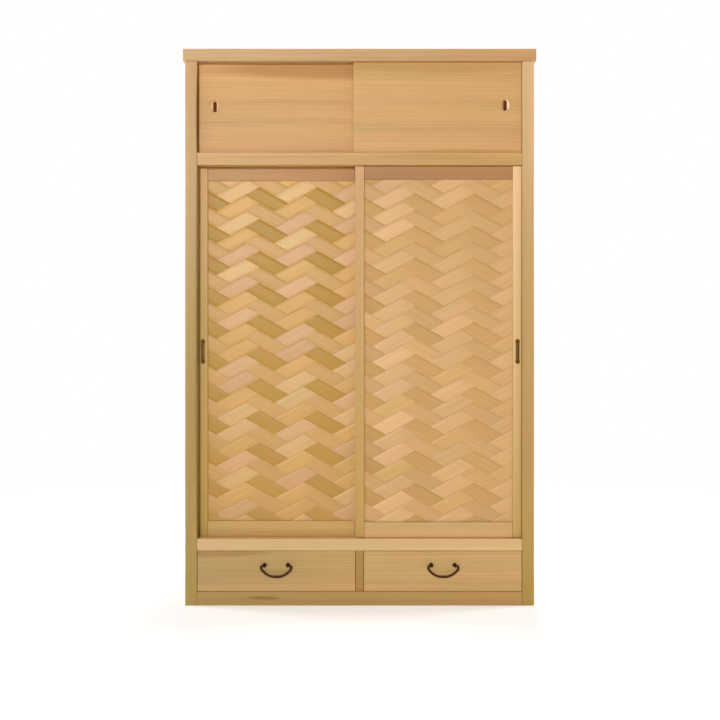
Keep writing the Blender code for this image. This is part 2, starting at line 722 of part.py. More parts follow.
def woven_panel(low, high, front_y, start):
    """Sheet of crossing strips on a flat backing, trimmed to the door's grooves.

    Each strip shows over two crossings and dives under two, so the face is a pattern of long tiles:
    columns lean down and up in turn, and each tile is crowned in the middle and low at its ends.
    The pattern is counted from the start, where the first corner of a falling tile lies.
    """
    down, up = Vector((STRIP_RUN, 0, -STRIP_RISE)), Vector((STRIP_RUN, 0, STRIP_RISE))
    across = 2 * STRIP_RUN * STRIP_RISE / math.hypot(STRIP_RUN, STRIP_RISE)
    seam = STRIP_SEAM / across
    step_x, step_z = 2 * STRIP_RUN, 2 * STRIP_RISE
    columns = range(
        math.floor((low[0] - start[0] - STRIP_RUN) / step_x) - 1, math.ceil((high[0] - start[0]) / step_x)
    )
    rows = range(
        math.floor((low[1] - start[1]) / step_z) - 1, math.ceil((high[1] - start[1]) / step_z) + 1
    )
    base_y = front_y + STRIP_CROWN
    rises = {0: STRIP_END_RISE, 1: STRIP_CROWN, 2: STRIP_END_RISE}
    shape = bmesh.new()
    for column in columns:
        along, aside = (down, up) if column % 2 == 0 else (up, down)
        for row in rows:
            corner = Vector((start[0] + column * step_x, base_y, start[1] + row * step_z))
            ring = [(0, 0), (1, 0), (2, 0), (2, 1), (1, 1), (0, 1)]
            foot = [shape.verts.new(corner + along * s + aside * t) for s, t in ring]
            crown = []
            for s, t in ring:
                inner_s = s + seam * (1 - s)
                inner_t = t + seam * (1 - 2 * t)
                lift = Vector((0, -rises[s], 0))
                crown.append(shape.verts.new(corner + along * inner_s + aside * inner_t + lift))
            for i in range(6):
                k = (i + 1) % 6
                shape.faces.new((foot[i], foot[k], crown[k], crown[i]))
            shape.faces.new((crown[0], crown[1], crown[4], crown[5]))
            shape.faces.new((crown[1], crown[2], crown[3], crown[4]))
    bmesh.ops.remove_doubles(shape, verts=shape.verts, dist=WELD)
    trims = [((1, 0, 0), high), ((-1, 0, 0), low), ((0, 0, 1), high), ((0, 0, -1), low)]
    for normal, corner in trims:
        geometry = shape.verts[:] + shape.edges[:] + shape.faces[:]
        spot = (corner[0], base_y, corner[1])
        bmesh.ops.bisect_plane(
            shape, geom=geometry, dist=ON_PLANE, plane_co=spot, plane_no=normal, clear_outer=True
        )
    back_y = base_y + WEAVE_BACKING
    close_sheet(shape, low, high, back_y)
    return shape


def close_sheet(shape, low, high, back_y):
    """Four flat edges and a flat back that close a trimmed sheet into one solid."""
    corners = {
        (x, z): shape.verts.new((x, back_y, z)) for x in (low[0], high[0]) for z in (low[1], high[1])
    }
    rim = [v for v in shape.verts if v.is_boundary and v.link_edges]
    for axis, other in ((0, 2), (2, 0)):
        for end in (low, high):
            level = end[axis // 2]
            side = [v for v in rim if abs(v.co[axis] - level) < WELD]
            side.sort(key=lambda v: v.co[other])
            ends = (low[other // 2], high[other // 2])
            keys = [(level, e) if axis == 0 else (e, level) for e in reversed(ends)]
            shape.faces.new(side + [corners[key] for key in keys])
    shape.faces.new([corners[k] for k in ((low[0], low[1]), (high[0], low[1]), high, (low[0], high[1]))])


def lower_pull(name, center_x, face, metal, group):
    """Long metal pull: a plate with round ends and domed pins, and a narrow finger slot between them."""
    center_z = SILL_Z + LOWER_PULL_HEIGHT
    reach = LOWER_PULL_SPACING / 2
    neck = math.degrees(math.asin(LOWER_PULL_WAIST / LOWER_PULL_END_RADIUS))
    steps = ROUND_STEPS - ROUND_STEPS // 4
    upper = arc((center_x, center_z + reach), LOWER_PULL_END_RADIUS, neck - 90, 270 - neck, steps)
    lower = arc((center_x, center_z - reach), LOWER_PULL_END_RADIUS, 90 + neck, 450 - neck, steps)
    seat = face - FIT
    plate = prism(upper + lower, "Y", seat - LOWER_PULL_PLATE, seat)
    slot_wide, slot_long = LOWER_PULL_SLOT_WIDTH, LOWER_PULL_SLOT_LENGTH
    wall = 2 * LOWER_PULL_WALL
    deep = seat + LOWER_PULL_DEPTH
    center = (center_x, center_z)
    cup = prism(
        oblong(center, slot_wide + wall, slot_long + wall),
        "Y",
        seat - LOWER_PULL_PLATE / 2,
        deep + LOWER_PULL_WALL,
    )
    pins = bmesh.new()
    for end in (-reach, reach):
        spot = (center_x, center_z + end)
        base = circle(spot, LOWER_PULL_PIN_RADIUS)
        crest = circle(spot, LOWER_PULL_PIN_CREST)
        top = seat - LOWER_PULL_PLATE - LOWER_PULL_PIN_RISE
        add_prism(pins, base, "Y", seat - LOWER_PULL_PLATE / 2, top, crest)
    slot = prism(oblong(center, slot_wide, slot_long), "Y", seat - OVERCUT, deep)
    piece(name, plate, metal, group, ease=0, joins=[cup, pins], cuts=slot)
    pocket_wide, pocket_long = slot_wide + wall + 2 * FIT, slot_long + wall + 2 * FIT
    pocket = oblong(center, pocket_wide, pocket_long)
    return pocket, deep + LOWER_PULL_WALL + FIT


def lower_door(name, side, woods, metal, carcase):
    """Framed door: stiles, rails with stub tenons, the woven panel in its grooves, and the pull."""
    track = LOWER_TRACKS[name]
    half, tongue = LOWER_DOOR_THICKNESS / 2, TONGUE_WIDTH / 2
    groove = PANEL_GROOVE_WIDTH / 2
    outer, inner = side * (HALF_OPENING - FIT), -side * MEETING_STILE_WIDTH / 2
    low_z, high_z = SILL_Z + DOOR_SHOULDER_GAP, HEAD_Z - DOOR_SHOULDER_GAP
    tongue_low, tongue_high = SILL_Z - SILL_GROOVE_DEPTH + FIT, HEAD_Z + HEAD_TONGUE
    group = body_group(f"lower_{name}_door_body", ((outer + inner) / 2, track, SILL_Z), carcase)
    edges = {
        "outer": (outer, -side, OUTER_STILE_WIDTH),
        "inner": (inner, side, MEETING_STILE_WIDTH),
    }
    panel_x = []
    for label, (edge, toward, width) in edges.items():
        panel_edge = edge + toward * width
        groove_floor = panel_edge - toward * PANEL_GROOVE_DEPTH
        panel_x.append(groove_floor + toward * FIT)
        shape = box((edge, track - half, low_z), (panel_edge, track + half, high_z))
        tongues = box(
            (edge + toward * JOIN_INSET, track - tongue, tongue_low),
            (panel_edge - toward * (PANEL_GROOVE_DEPTH + JOIN_INSET), track + tongue, tongue_high),
        )
        cuts = box(
            (groove_floor, track - groove, low_z + PANEL_GROOVE_STOP),
            (panel_edge + toward * OVERCUT, track + groove, high_z - PANEL_GROOVE_STOP),
        )
        if label == "outer":
            center_x = edge + toward * LOWER_PULL_INSET
            face = track - half
            pocket, floor_y = lower_pull(f"lower_{name}_pull", center_x, face, metal, group)
            add_prism(cuts, pocket, "Y", face - OVERCUT, floor_y)
        piece(
            f"lower_{name}_{label}_stile",
            shape,
            woods["stile"],
            group,
            joins=[tongues],
            cuts=cuts,
        )
    left_x, right_x = sorted(panel_x)
    low_edge, high_edge = low_z + DOOR_BOTTOM_RAIL_HEIGHT, high_z - DOOR_TOP_RAIL_HEIGHT
    rails = {
        "top_rail": (high_edge, high_z, tongue_high, 1),
        "bottom_rail": (low_edge, low_z, tongue_low, -1),
    }
    shoulder = PANEL_GROOVE_DEPTH
    thick = half - DOOR_RAIL_SET_BACK
    for label, (panel_edge, far_edge, tongue_end, toward) in rails.items():
        shape = box(
            (left_x + shoulder, track - thick, panel_edge), (right_x - shoulder, track + thick, far_edge)
        )
        running = box(
            (left_x + shoulder + JOIN_INSET, track - tongue, far_edge - toward * RUNNING_TONGUE_ROOT),
            (right_x - shoulder - JOIN_INSET, track + tongue, tongue_end),
        )
        stubs = box(
            (left_x, track - groove + FIT, panel_edge + toward * (shoulder + JOIN_INSET)),
            (right_x, track + groove - FIT, far_edge - toward * STUB_STOP),
        )
        cuts = box(
            (left_x - OVERCUT, track - groove, panel_edge - toward * OVERCUT),
            (right_x + OVERCUT, track + groove, panel_edge + toward * shoulder),
        )
        piece(
            f"lower_{name}_{label}",
            shape,
            woods[f"door_{label}"],
            group,
            joins=[running, stubs],
            cuts=cuts,
        )
    low = (left_x, low_edge - shoulder + FIT)
    high = (right_x, high_edge + shoulder - FIT)
    panel = woven_panel(low, high, track - groove + FIT, (WEAVE_START_X[name], WEAVE_START_Z[name]))
    piece(f"lower_{name}_woven_panel", panel, woods["weave"], group, ease=0)


def knob(name, center, metal, group):
    """Turned handle post: shank in the drawer front, flange, neck, and a round head with a cross bore."""
    x, z = center
    seat = DRAWER_SET_BACK - FIT
    rim = seat - KNOB_FLANGE_THICKNESS
    tail = DRAWER_SET_BACK + KNOB_SHANK_LENGTH
    join_angle = math.degrees(math.asin(KNOB_NECK_RADIUS / KNOB_RADIUS))
    head = arc((BAIL_Y, 0), KNOB_RADIUS, join_angle, 180, KNOB_ARC_STEPS)
    profile = [
        (tail, 0),
        (tail, KNOB_SHANK_RADIUS),
        (seat, KNOB_SHANK_RADIUS),
        (seat, KNOB_FLANGE_RADIUS),
        (rim, KNOB_FLANGE_RADIUS - KNOB_FLANGE_THICKNESS / 2),
        (rim, KNOB_NECK_RADIUS),
    ] + head[:-1]
    profile.append((BAIL_Y - KNOB_RADIUS, 0))
    shape = bmesh.new()
    chain = [shape.verts.new((x + radius, y, z)) for y, radius in profile]
    edges = [shape.edges.new(pair) for pair in zip(chain, chain[1:])]
    bmesh.ops.spin(
        shape,
        geom=chain + edges,
        cent=(x, 0, z),
        axis=(0, 1, 0),
        angle=math.tau,
        steps=ROUND_STEPS,
    )
    bmesh.ops.remove_doubles(shape, verts=shape.verts, dist=WELD)
    bore = circle((BAIL_Y, z), BAIL_PIN_RADIUS + BAIL_PIN_CLEARANCE)
    reach = KNOB_RADIUS + OVERCUT
    cut = prism(bore, "X", x - reach, x + reach)
    piece(name, shape, metal, group, ease=0, cuts=cut, smooth=True)


def bail(name, center, metal, group):
    """Hanging bail: pins in the two posts, a curl at either end and a parabolic sweep between."""
    knob_x = KNOB_SPACING / 2
    shoulder_x = BAIL_HALF_WIDTH - BAIL_SHOULDER_INSET
    thin = BAIL_PIN_RADIUS / BAIL_BAR_RADIUS
    half = [
        (knob_x - BAIL_PIN_LENGTH / 2, 0, thin),
        (knob_x + KNOB_RADIUS + BAIL_PIN_CLEARANCE, 0, thin),
        (BAIL_HALF_WIDTH, -BAIL_CURL_DROP, 1),
    ]
    for i in range(BAIL_SWEEP_POINTS + 1):
        share = 1 - i / BAIL_SWEEP_POINTS
        lift = (BAIL_DROP - BAIL_SHOULDER_DROP) * share**2
        half.append((shoulder_x * share, lift - BAIL_DROP, 1))
    path = [(-x, z, r) for x, z, r in half] + [(x, z, r) for x, z, r in reversed(half[:-1])]
    curve = bpy.data.curves.new(name, "CURVE")
    curve.dimensions = "3D"
    curve.bevel_depth = BAIL_BAR_RADIUS
    curve.bevel_resolution = BAIL_ROUND_STEPS
    curve.use_fill_caps = True
    curve.resolution_u = CURL_STEPS
    spline = curve.splines.new("BEZIER")
    spline.bezier_points.add(len(path) - 1)
    for point, (x, z, radius) in zip(spline.bezier_points, path):
        point.co = (x, 0, z)
        point.radius = radius
        point.handle_left_type = "AUTO"
        point.handle_right_type = "AUTO"
    for exit_point in (spline.bezier_points[1], spline.bezier_points[-2]):
        exit_point.handle_left_type = "FREE"
        exit_point.handle_right_type = "FREE"
        exit_point.handle_left = exit_point.co + Vector((BAIL_PIN_RADIUS, 0, 0))
        exit_point.handle_right = exit_point.co - Vector((BAIL_PIN_RADIUS, 0, 0))
    for tip in (spline.bezier_points[0], spline.bezier_points[-1]):
        tip.handle_left_type = "VECTOR"
        tip.handle_right_type = "VECTOR"
    curve.materials.append(metal)
    made = bpy.data.objects.new(name, curve)
    bpy.context.collection.objects.link(made)
    made.parent = group
    made.location = Vector((center[0], BAIL_Y, center[1])) - Vector(group["place"])


def drawer(name, side, woods, metal, carcase):
    """Drawer box lapped into its front, with a bottom in grooves and a bail handle."""
    inner = side * (DIVIDER_WIDTH / 2 + DRAWER_GAP)
    outer = side * (HALF_OPENING - DRAWER_GAP)
    middle = (inner + outer) / 2
    half = abs(outer - inner) / 2
    low_z, high_z = DRAWER_FLOOR_Z + DRAWER_GAP, SILL_UNDER_Z - DRAWER_GAP
    front_back = DRAWER_SET_BACK + DRAWER_FRONT_THICKNESS
    back_y = DRAWER_BACK_Y
    side_low = DRAWER_FLOOR_Z + FIT
    side_high = side_low + DRAWER_SIDE_HEIGHT
    bottom_low = side_low + DRAWER_BOTTOM_RAISE
    bottom_high = bottom_low + DRAWER_BOTTOM_THICKNESS
    group = body_group(f"{name}_drawer_body", (middle, DRAWER_SET_BACK, DRAWER_FLOOR_Z), carcase)
    lap_x = half - DRAWER_SIDE_INSET - DRAWER_SIDE_THICKNESS - FIT
    lap_y = front_back - DRAWER_LAP
    outline = mirrored([(half, DRAWER_SET_BACK), (half, lap_y), (lap_x, lap_y), (lap_x, front_back)])
    outline = [(middle + x, y) for x, y in outline]
    shape = prism(outline, "Z", low_z, high_z)
    cuts = box(
        (middle - lap_x - OVERCUT, front_back - DRAWER_BOTTOM_GROOVE, bottom_low - FIT),
        (middle + lap_x + OVERCUT, front_back + OVERCUT, bottom_high + FIT),
    )
    handle_z = (low_z + high_z) / 2 + HANDLE_RISE
    spots = {
        "outer": (middle + side * KNOB_SPACING / 2, handle_z),
        "inner": (middle - side * KNOB_SPACING / 2, handle_z),
    }
    for spot in spots.values():
        hole = circle(spot, KNOB_SHANK_RADIUS + FIT)
        hole_end = DRAWER_SET_BACK + KNOB_SHANK_LENGTH + FIT
        add_prism(cuts, hole, "Y", DRAWER_SET_BACK - OVERCUT, hole_end)
    piece(f"{name}_drawer_front", shape, woods["drawer_front"], group, cuts=cuts)
    face_x = half - DRAWER_SIDE_INSET
    inside_x = face_x - DRAWER_SIDE_THICKNESS
    groove_x = inside_x + DRAWER_BOTTOM_GROOVE
    for label, toward in (("outer", side), ("inner", -side)):
        profile = [
            (face_x, side_low),
            (face_x, side_high),
            (inside_x, side_high),
            (inside_x, bottom_high + FIT),
            (groove_x, bottom_high + FIT),
            (groove_x, bottom_low - FIT),
            (inside_x, bottom_low - FIT),
            (inside_x, side_low),
        ]
        profile = [(middle + toward * x, z) for x, z in profile]
        board = prism(profile, "Y", lap_y + FIT, back_y)
        piece(f"{name}_drawer_{label}_side", board, woods["drawer_box"], group, ease=0)
    back = box(
        (middle - inside_x + FIT, back_y - DRAWER_BACK_THICKNESS, bottom_high + 2 * FIT),
        (middle + inside_x - FIT, back_y, side_high - DRAWER_BACK_DROP),
    )
    piece(f"{name}_drawer_back", back, woods["drawer_box"], group, ease=0)
    bottom = box(
        (middle - groove_x + FIT, front_back - DRAWER_BOTTOM_GROOVE + FIT, bottom_low),
        (middle + groove_x - FIT, back_y, bottom_high),
    )
    piece(f"{name}_drawer_bottom", bottom, woods["drawer_box"], group, ease=0)
    for label, spot in spots.items():
        knob(f"{name}_handle_{label}_post", spot, metal, group)
    pivot = body_group(f"{name}_bail_body", (middle, BAIL_Y, handle_z), group)
    bail(f"{name}_bail", (middle, handle_z), metal, pivot)


def main():
    """Make the finishes, then the pieces in the order of assembly."""
    clear_scene()
    woods = {
        "carcase": finish("carcase wood", (0.60, 0.38, 0.17), 0.55),
        "inside": finish("inside wood", (0.58, 0.38, 0.19), 0.60),
        "mid_rail": finish("mid rail wood", (0.64, 0.40, 0.18), 0.55),
        "lower_sill": finish("sill wood", (0.68, 0.44, 0.20), 0.50),
        "bottom_front_rail": finish("bottom rail wood", (0.46, 0.27, 0.10), 0.55),
        "divider": finish("divider wood", (0.42, 0.25, 0.08), 0.55),
        "door_board": finish("door board wood", (0.66, 0.39, 0.17), 0.55),
        "pull_wood": finish("pull wood", (0.72, 0.48, 0.25), 0.55),
        "stile": finish("stile wood", (0.72, 0.46, 0.21), 0.50),
        "door_top_rail": finish("door top rail wood", (0.56, 0.32, 0.15), 0.55),
        "door_bottom_rail": finish("door bottom rail wood", (0.60, 0.37, 0.16), 0.55),
        "weave": finish("woven strip wood", (0.66, 0.40, 0.17), 0.50),
        "drawer_front": finish("drawer front wood", (0.54, 0.33, 0.14), 0.55),
        "drawer_box": finish("drawer box wood", (0.62, 0.45, 0.27), 0.60),
    }
    iron = finish("dark iron", (0.020, 0.014, 0.010), 0.45, 1.0)
    bronze = finish("dark bronze", (0.075, 0.040, 0.014), 0.40, 1.0)
    carcase = body_group("carcase_body", (0, 0, 0))
    for name, side in SIDES.items():
        post(f"{name}_front_post", side, woods["carcase"], carcase)
        rear_post(f"{name}_rear_post", side, woods["carcase"], carcase)
        side_board(f"{name}_side_board", side, woods["carcase"], carcase)
    back_bottom_rail(woods["inside"], carcase)
    back_panel(woods["inside"], carcase)
    front_rails(woods, carcase)
    floors(woods["inside"], carcase)
    drawer_runners(woods["inside"], carcase)
    shelves(woods["inside"], carcase)
    top_board(woods["carcase"], carcase)
    for name, side in SIDES.items():
        upper_door(name, side, woods, carcase)
        lower_door(name, side, woods, bronze, carcase)
        drawer(name, side, woods, iron, carcase)


main()
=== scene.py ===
"""Looks of the tea ceremony cabinet: its planed wood, woven door panels, pulls and iron handles."""

import json
import math
import zlib

import bmesh
import bpy
import numpy as np
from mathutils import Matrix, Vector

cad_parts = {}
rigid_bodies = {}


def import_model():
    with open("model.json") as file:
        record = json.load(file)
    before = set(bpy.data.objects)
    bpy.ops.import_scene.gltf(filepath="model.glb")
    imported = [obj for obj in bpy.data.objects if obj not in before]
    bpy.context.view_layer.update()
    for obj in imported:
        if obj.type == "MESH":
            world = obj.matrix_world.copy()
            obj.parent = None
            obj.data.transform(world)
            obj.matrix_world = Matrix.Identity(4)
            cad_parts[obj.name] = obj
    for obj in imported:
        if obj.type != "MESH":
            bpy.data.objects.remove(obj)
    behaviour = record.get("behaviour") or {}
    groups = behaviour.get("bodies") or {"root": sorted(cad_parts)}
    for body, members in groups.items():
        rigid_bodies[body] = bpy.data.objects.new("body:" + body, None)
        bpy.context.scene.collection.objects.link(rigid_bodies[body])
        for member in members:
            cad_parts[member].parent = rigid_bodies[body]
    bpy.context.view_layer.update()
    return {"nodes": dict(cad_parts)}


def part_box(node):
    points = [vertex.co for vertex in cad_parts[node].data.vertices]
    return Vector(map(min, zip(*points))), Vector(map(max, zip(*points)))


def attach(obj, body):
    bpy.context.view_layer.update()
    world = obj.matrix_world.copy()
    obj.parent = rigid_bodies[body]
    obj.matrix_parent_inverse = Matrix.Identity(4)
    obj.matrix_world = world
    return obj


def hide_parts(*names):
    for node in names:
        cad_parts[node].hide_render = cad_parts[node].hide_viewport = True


for leftover in list(bpy.data.objects):
    bpy.data.objects.remove(leftover, do_unlink=True)
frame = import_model()


# Posts
# Four planed softwood posts carry the cabinet. The deep front pair takes the tenons of every front rail,
# and the slim rear pair closes the back. Their grain runs straight up under a thin satin oil. Their feet are
# painted darker than their heads, a painted shade where the light falls off towards the floor, and the left
# front post carries painted shade along its inner edge, beside the doors.

class Wire:
    """One socket of a node tree: sums and products add Math nodes, and make() adds any other node."""

    def __init__(self, tree, socket=None):
        self.tree = tree
        self.socket = socket

    def make(self, kind, settings=None, values=None, out=0):
        """A new node: its settings first, then the values or links of its sockets. Gives one output."""
        node = self.tree.nodes.new(kind)
        for name, setting in (settings or {}).items():
            setattr(node, name, setting)
        self.feed(node, values or {})
        return Wire(self.tree, node.outputs[out])

    def feed(self, node, values):
        for key, value in values.items():
            if isinstance(value, Wire):
                self.tree.links.new(value.socket, node.inputs[key])
            else:
                node.inputs[key].default_value = value

    def sibling(self, out):
        return Wire(self.tree, self.socket.node.outputs[out])

    def math(self, operation, *terms):
        return self.make("ShaderNodeMath", {"operation": operation}, dict(enumerate(terms)))

    def __add__(self, other):
        return self.math("ADD", self, other)

    def __sub__(self, other):
        return self.math("SUBTRACT", self, other)

    def __rsub__(self, other):
        return self.math("SUBTRACT", other, self)

    def __mul__(self, other):
        return self.math("MULTIPLY", self, other)

    def __truediv__(self, other):
        return self.math("DIVIDE", self, other)

    def __pow__(self, other):
        return self.math("POWER", self, other)

    def __abs__(self):
        return self.math("ABSOLUTE", self)

    __radd__ = __add__
    __rmul__ = __mul__

    def whole(self):
        return self.math("FLOOR", self)

    def low(self, other):
        return self.math("MINIMUM", self, other)

    def high(self, other):
        return self.math("MAXIMUM", self, other)

    def rise(self, start, end):
        """0 before start, 1 after end, and a smooth step between them."""
        kind = {"interpolation_type": "SMOOTHSTEP"}
        return self.make("ShaderNodeMapRange", kind, {0: self, 1: start, 2: end, 3: 0.0, 4: 1.0})

    def between(self, first, second):
        """The colour this share of the way from the first colour to the second."""
        return self.make("ShaderNodeMix", {"data_type": "RGBA"}, {0: self, 6: first, 7: second}, out=2)

    def tinted(self, colour):
        return self.make("ShaderNodeVectorMath", {"operation": "MULTIPLY"}, {0: self, 1: colour})

    def dimmed(self, share):
        return self.make("ShaderNodeVectorMath", {"operation": "SCALE"}, {0: self, "Scale": share})

    def split(self):
        """The three values of a vector."""
        first = self.make("ShaderNodeSeparateXYZ", values={0: self})
        return first, first.sibling(1), first.sibling(2)

    def spot(self):
        """The X, Y and Z of a spot on the piece."""
        return self.make("ShaderNodeTexCoord", out="Object").split()

    def cloud(self, first, second, third, detail=2.0):
        """Noise about zero at a spot given by three values, one cell for each unit."""
        spot = self.make("ShaderNodeCombineXYZ", values={0: first, 1: second, 2: third})
        return self.make("ShaderNodeTexNoise", values={"Vector": spot, "Scale": 1.0, "Detail": detail}) - 0.5

    def chance(self):
        """A random share of its own for each value."""
        return self.make("ShaderNodeTexWhiteNoise", {"noise_dimensions": "1D"}, {"W": self})

    def bump(self, strength, depth):
        """The normal of a surface that has this value as its height."""
        return self.make("ShaderNodeBump", values={"Strength": strength, "Distance": depth, "Height": self})


def new_finish(name):
    """An empty material, its first wire and its shader."""
    material = bpy.data.materials.new(name)
    material.use_nodes = True
    wire = Wire(material.node_tree)
    return material, wire, material.node_tree.nodes["Principled BSDF"]


def paint(red, green, blue):
    """A colour given in display values of 0 to 255, in the linear values that a shader takes."""
    shares = np.array([red, green, blue]) / 255
    linear = np.where(shares <= 0.04045, shares / 12.92, ((shares + 0.055) / 1.055) ** 2.4)
    return (*linear.tolist(), 1.0)


WHITE = (1.0, 1.0, 1.0, 1.0)
PINK_CAST = (1.045, 0.985, 1.02, 1.0)
OLIVE_CAST = (0.965, 1.005, 0.93, 1.0)
STREAK_CAST = (0.46, 0.33, 0.0, 1.0)
STREAK_CORE = 0.15

# The figure of the wood. ALONG and ACROSS are cells of noise to the metre in these directions of a board.
LOG_PLACES = 400
LOG_STEP = 0.37
BEND = 0.024
BEND_ALONG = 1.3
BEND_ACROSS = 3.0
RING_LEAN = 0.35
RING_DRIFT = 4.0
RING_DRIFT_ACROSS = 28.0
FINE_RING = 0.005
LATE_POWER = 5.0
LATE_LEAST = 0.35
LATE_DEPTH = 0.5
LATE_ROUGHNESS = 0.08
BAND_ALONG = 0.5
BAND_ACROSS = 24.0
CAST_ALONG = 0.9
CAST_ACROSS = 11.0
CAST_OFFSET = 5.0
CAST_REACH = 0.16
FIBRE_ALONG = 11.0
FIBRE_ACROSS = 420.0
FIBRE_LIGHT = 0.16
FIBRE_HEIGHT = 0.8
FIBRE_ROUGHNESS = 0.2
PLANK_STEP = 0.41
PLANK_SPREAD = 0.1
JOINT_EDGE = (0.495, 0.499)
JOINT_SHADE = 0.3
WEAR_WIDTH = 0.0035
WEAR_LEAST = 0.7
WEAR_LIGHT = 0.06
WEAR_POLISH = 0.1
UPWARD = (0.6, 0.9)
OIL_ROUGHNESS = 0.52


def planed_wood(node, length, face, tone, far_tone=None, ring=0.006, lines=0.2, bands=0.5, plank=None,
                satin=0.12, streaks=(), painted_top_light=0.0, cut=0):
    """Straight-grained softwood on one board, cut from its own place in the log.

    The ring coordinate is the place across the board, leaned through its thickness and bent a little by
    slow noise. A high power of its fractional part draws each ring's thin dark late wood. Noise stretched
    along the board gives broad bands, pink and olive casts and fine fibres, and the ground colour goes
    from the first tone to the far one along the board. Wide boards are glued up from planks, each with
    its own tone. Painted top light makes a board paler on its upper faces, a painted light. A streak is a
    long darkened oval, darker wood on some boards and painted shade on others: its middle along and
    across the board, its half length, its half width and its depth.
    """
    low, high = np.array(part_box(node))
    middle, half = (low + high) / 2, (high - low) / 2
    start = LOG_STEP * ((zlib.crc32(node.encode()) + cut) % LOG_PLACES)
    order = ["XYZ".index(length), "XYZ".index(face)]
    order.append(3 - sum(order))

    material, wire, shader = new_finish(node + "_wood")
    axes = wire.spot()
    along, across, through = (axes[k] for k in order)

    sway = wire.cloud(along * BEND_ALONG + start, across * BEND_ACROSS, through * BEND_ACROSS, detail=1.0)
    bend = sway * BEND
    radius = across + through * RING_LEAN + bend
    joint = 0.0
    light = 1.0
    if plank:
        count = (across - float(low[order[1]])) / plank + 0.5
        number = count.whole()
        radius = radius + number * PLANK_STEP
        joint = abs(count - number - 0.5).rise(*JOINT_EDGE)
        light = 1 - PLANK_SPREAD / 2 + (number + start).chance() * PLANK_SPREAD - joint * JOINT_SHADE
    count = radius / ring + wire.cloud(radius * RING_DRIFT_ACROSS, start, 0.0, detail=1.0) * RING_DRIFT
    number = count.whole()
    late = (count - number) ** LATE_POWER
    late_share = LATE_LEAST + (1 - LATE_LEAST) * (number + start).chance()
    band = wire.cloud(radius * BAND_ACROSS, along * BAND_ALONG, start, detail=3.0)
    cast = wire.cloud(radius * CAST_ACROSS, along * CAST_ALONG, start + CAST_OFFSET)
    fibre = wire.cloud(across * FIBRE_ACROSS, through * FIBRE_ACROSS, along * FIBRE_ALONG)

    # Of a spot's reaches to the box's faces along X, Y and Z, the middle one tells how near an edge is.
    reach = [float(half[k]) - abs(axes[k] - float(middle[k])) for k in range(3)]
    edge = reach[0].low(reach[1]).high(reach[0].high(reach[1]).low(reach[2]))
    worn = (1 - edge.rise(0.0, WEAR_WIDTH)) * (WEAR_LEAST + band)

    share = (along - float(low[order[0]])) / float(2 * half[order[0]])
    ground = share.between(tone, far_tone or tone)
    light = light + band * bands - late * late_share * lines + fibre * FIBRE_LIGHT + worn * WEAR_LIGHT
    colour = ground.tinted(cast.rise(-CAST_REACH, CAST_REACH).between(OLIVE_CAST, PINK_CAST))
    # A streak darkens its oval: darker wood on some boards, painted shade on others.
    for at_along, at_across, half_along, half_across, depth in streaks:
        far = ((along - at_along) / half_along) ** 2.0 + ((across + bend - at_across) / half_across) ** 2.0
        wood_and_shade_streak = (1 - far.rise(STREAK_CORE, 1.0)) * depth
        colour = colour.tinted(wood_and_shade_streak.between(WHITE, STREAK_CAST))
    # Painted light: faces that turn up are made paler.
    if painted_top_light:
        upward = wire.make("ShaderNodeNewGeometry", out="Normal").split()[2]
        light = light + upward.rise(*UPWARD) * painted_top_light
    height = fibre * FIBRE_HEIGHT - late * LATE_DEPTH - joint
    wire.feed(shader, {
        "Base Color": colour.dimmed(light),
        "Roughness": OIL_ROUGHNESS + fibre * FIBRE_ROUGHNESS + late * LATE_ROUGHNESS - worn * WEAR_POLISH,
        "Normal": height.bump(strength=0.35, depth=0.0004),
        "Coat Weight": satin,
        "Coat Roughness": 0.32,
        "Specular IOR Level": 0.1,
    })
    frame["nodes"][node].material_slots[0].material = material


# Each post's foot tone is darker than its head tone: painted shade where the light falls off towards the
# floor.
post_tones = {
    "left_front_post": (paint(165, 141, 76), paint(193, 155, 107)),
    "right_front_post": (paint(174, 141, 72), paint(211, 172, 128)),
    "left_rear_post": (paint(180, 147, 90), paint(206, 168, 120)),
    "right_rear_post": (paint(182, 148, 90), paint(208, 170, 121)),
}
# The two thin streaks at the left front post's inner edge, at -0.4925, are painted shade beside the doors.
post_streaks = {
    "left_front_post": [(0.85, -0.512, 0.6, 0.04, 0.1), (1.515, -0.4925, 0.17, 0.0045, 0.95),
                        (0.77, -0.4925, 0.75, 0.0045, 0.35)],
    "right_front_post": [(0.85, 0.512, 0.6, 0.04, 0.16)],
}
for post, (foot_tone, head_tone) in post_tones.items():
    planed_wood(post, "Z", "X", foot_tone, head_tone, ring=FINE_RING, streaks=post_streaks.get(post, ()))


# Sides and back
# Each side is a wide board glued up from planks and tongued into its posts. The back is one panel of rather
# wider planks above a bottom rail, all in the same softwood, with less oil on the face to the wall.

LITTLE_OIL = 0.04
for side in ("left_side_board", "right_side_board"):
    planed_wood(side, "Z", "Y", paint(192, 155, 103), paint(210, 170, 120), plank=0.118)
planed_wood("back_panel", "Z", "X", paint(190, 153, 104), paint(204, 166, 118), plank=0.17, satin=LITTLE_OIL)
planed_wood("back_bottom_rail", "X", "Z", paint(184, 147, 95), satin=LITTLE_OIL)


# Floors, runners and shelves
# What the doors and drawers hide: the two compartment floors, the board under the drawers, the runners that
# carry the drawers, and two shelves on cleats. All are planed, and left nearly bare of oil.

INSIDE_TONE = paint(205, 167, 116)
for board in ("upper_floor_board", "lower_floor_board", "bottom_board", "upper_shelf", "lower_shelf"):
    planed_wood(board, "X", "Y", INSIDE_TONE, plank=0.14, satin=LITTLE_OIL)
for strip in ("left_drawer_runner", "centre_drawer_runner", "right_drawer_runner"):
    planed_wood(strip, "Y", "X", paint(188, 150, 100), satin=LITTLE_OIL)
for shelf in ("upper_shelf", "lower_shelf"):
    for side in ("left", "right"):
        planed_wood(f"{shelf}_{side}_cleat", "Y", "Z", paint(194, 156, 106), satin=LITTLE_OIL)
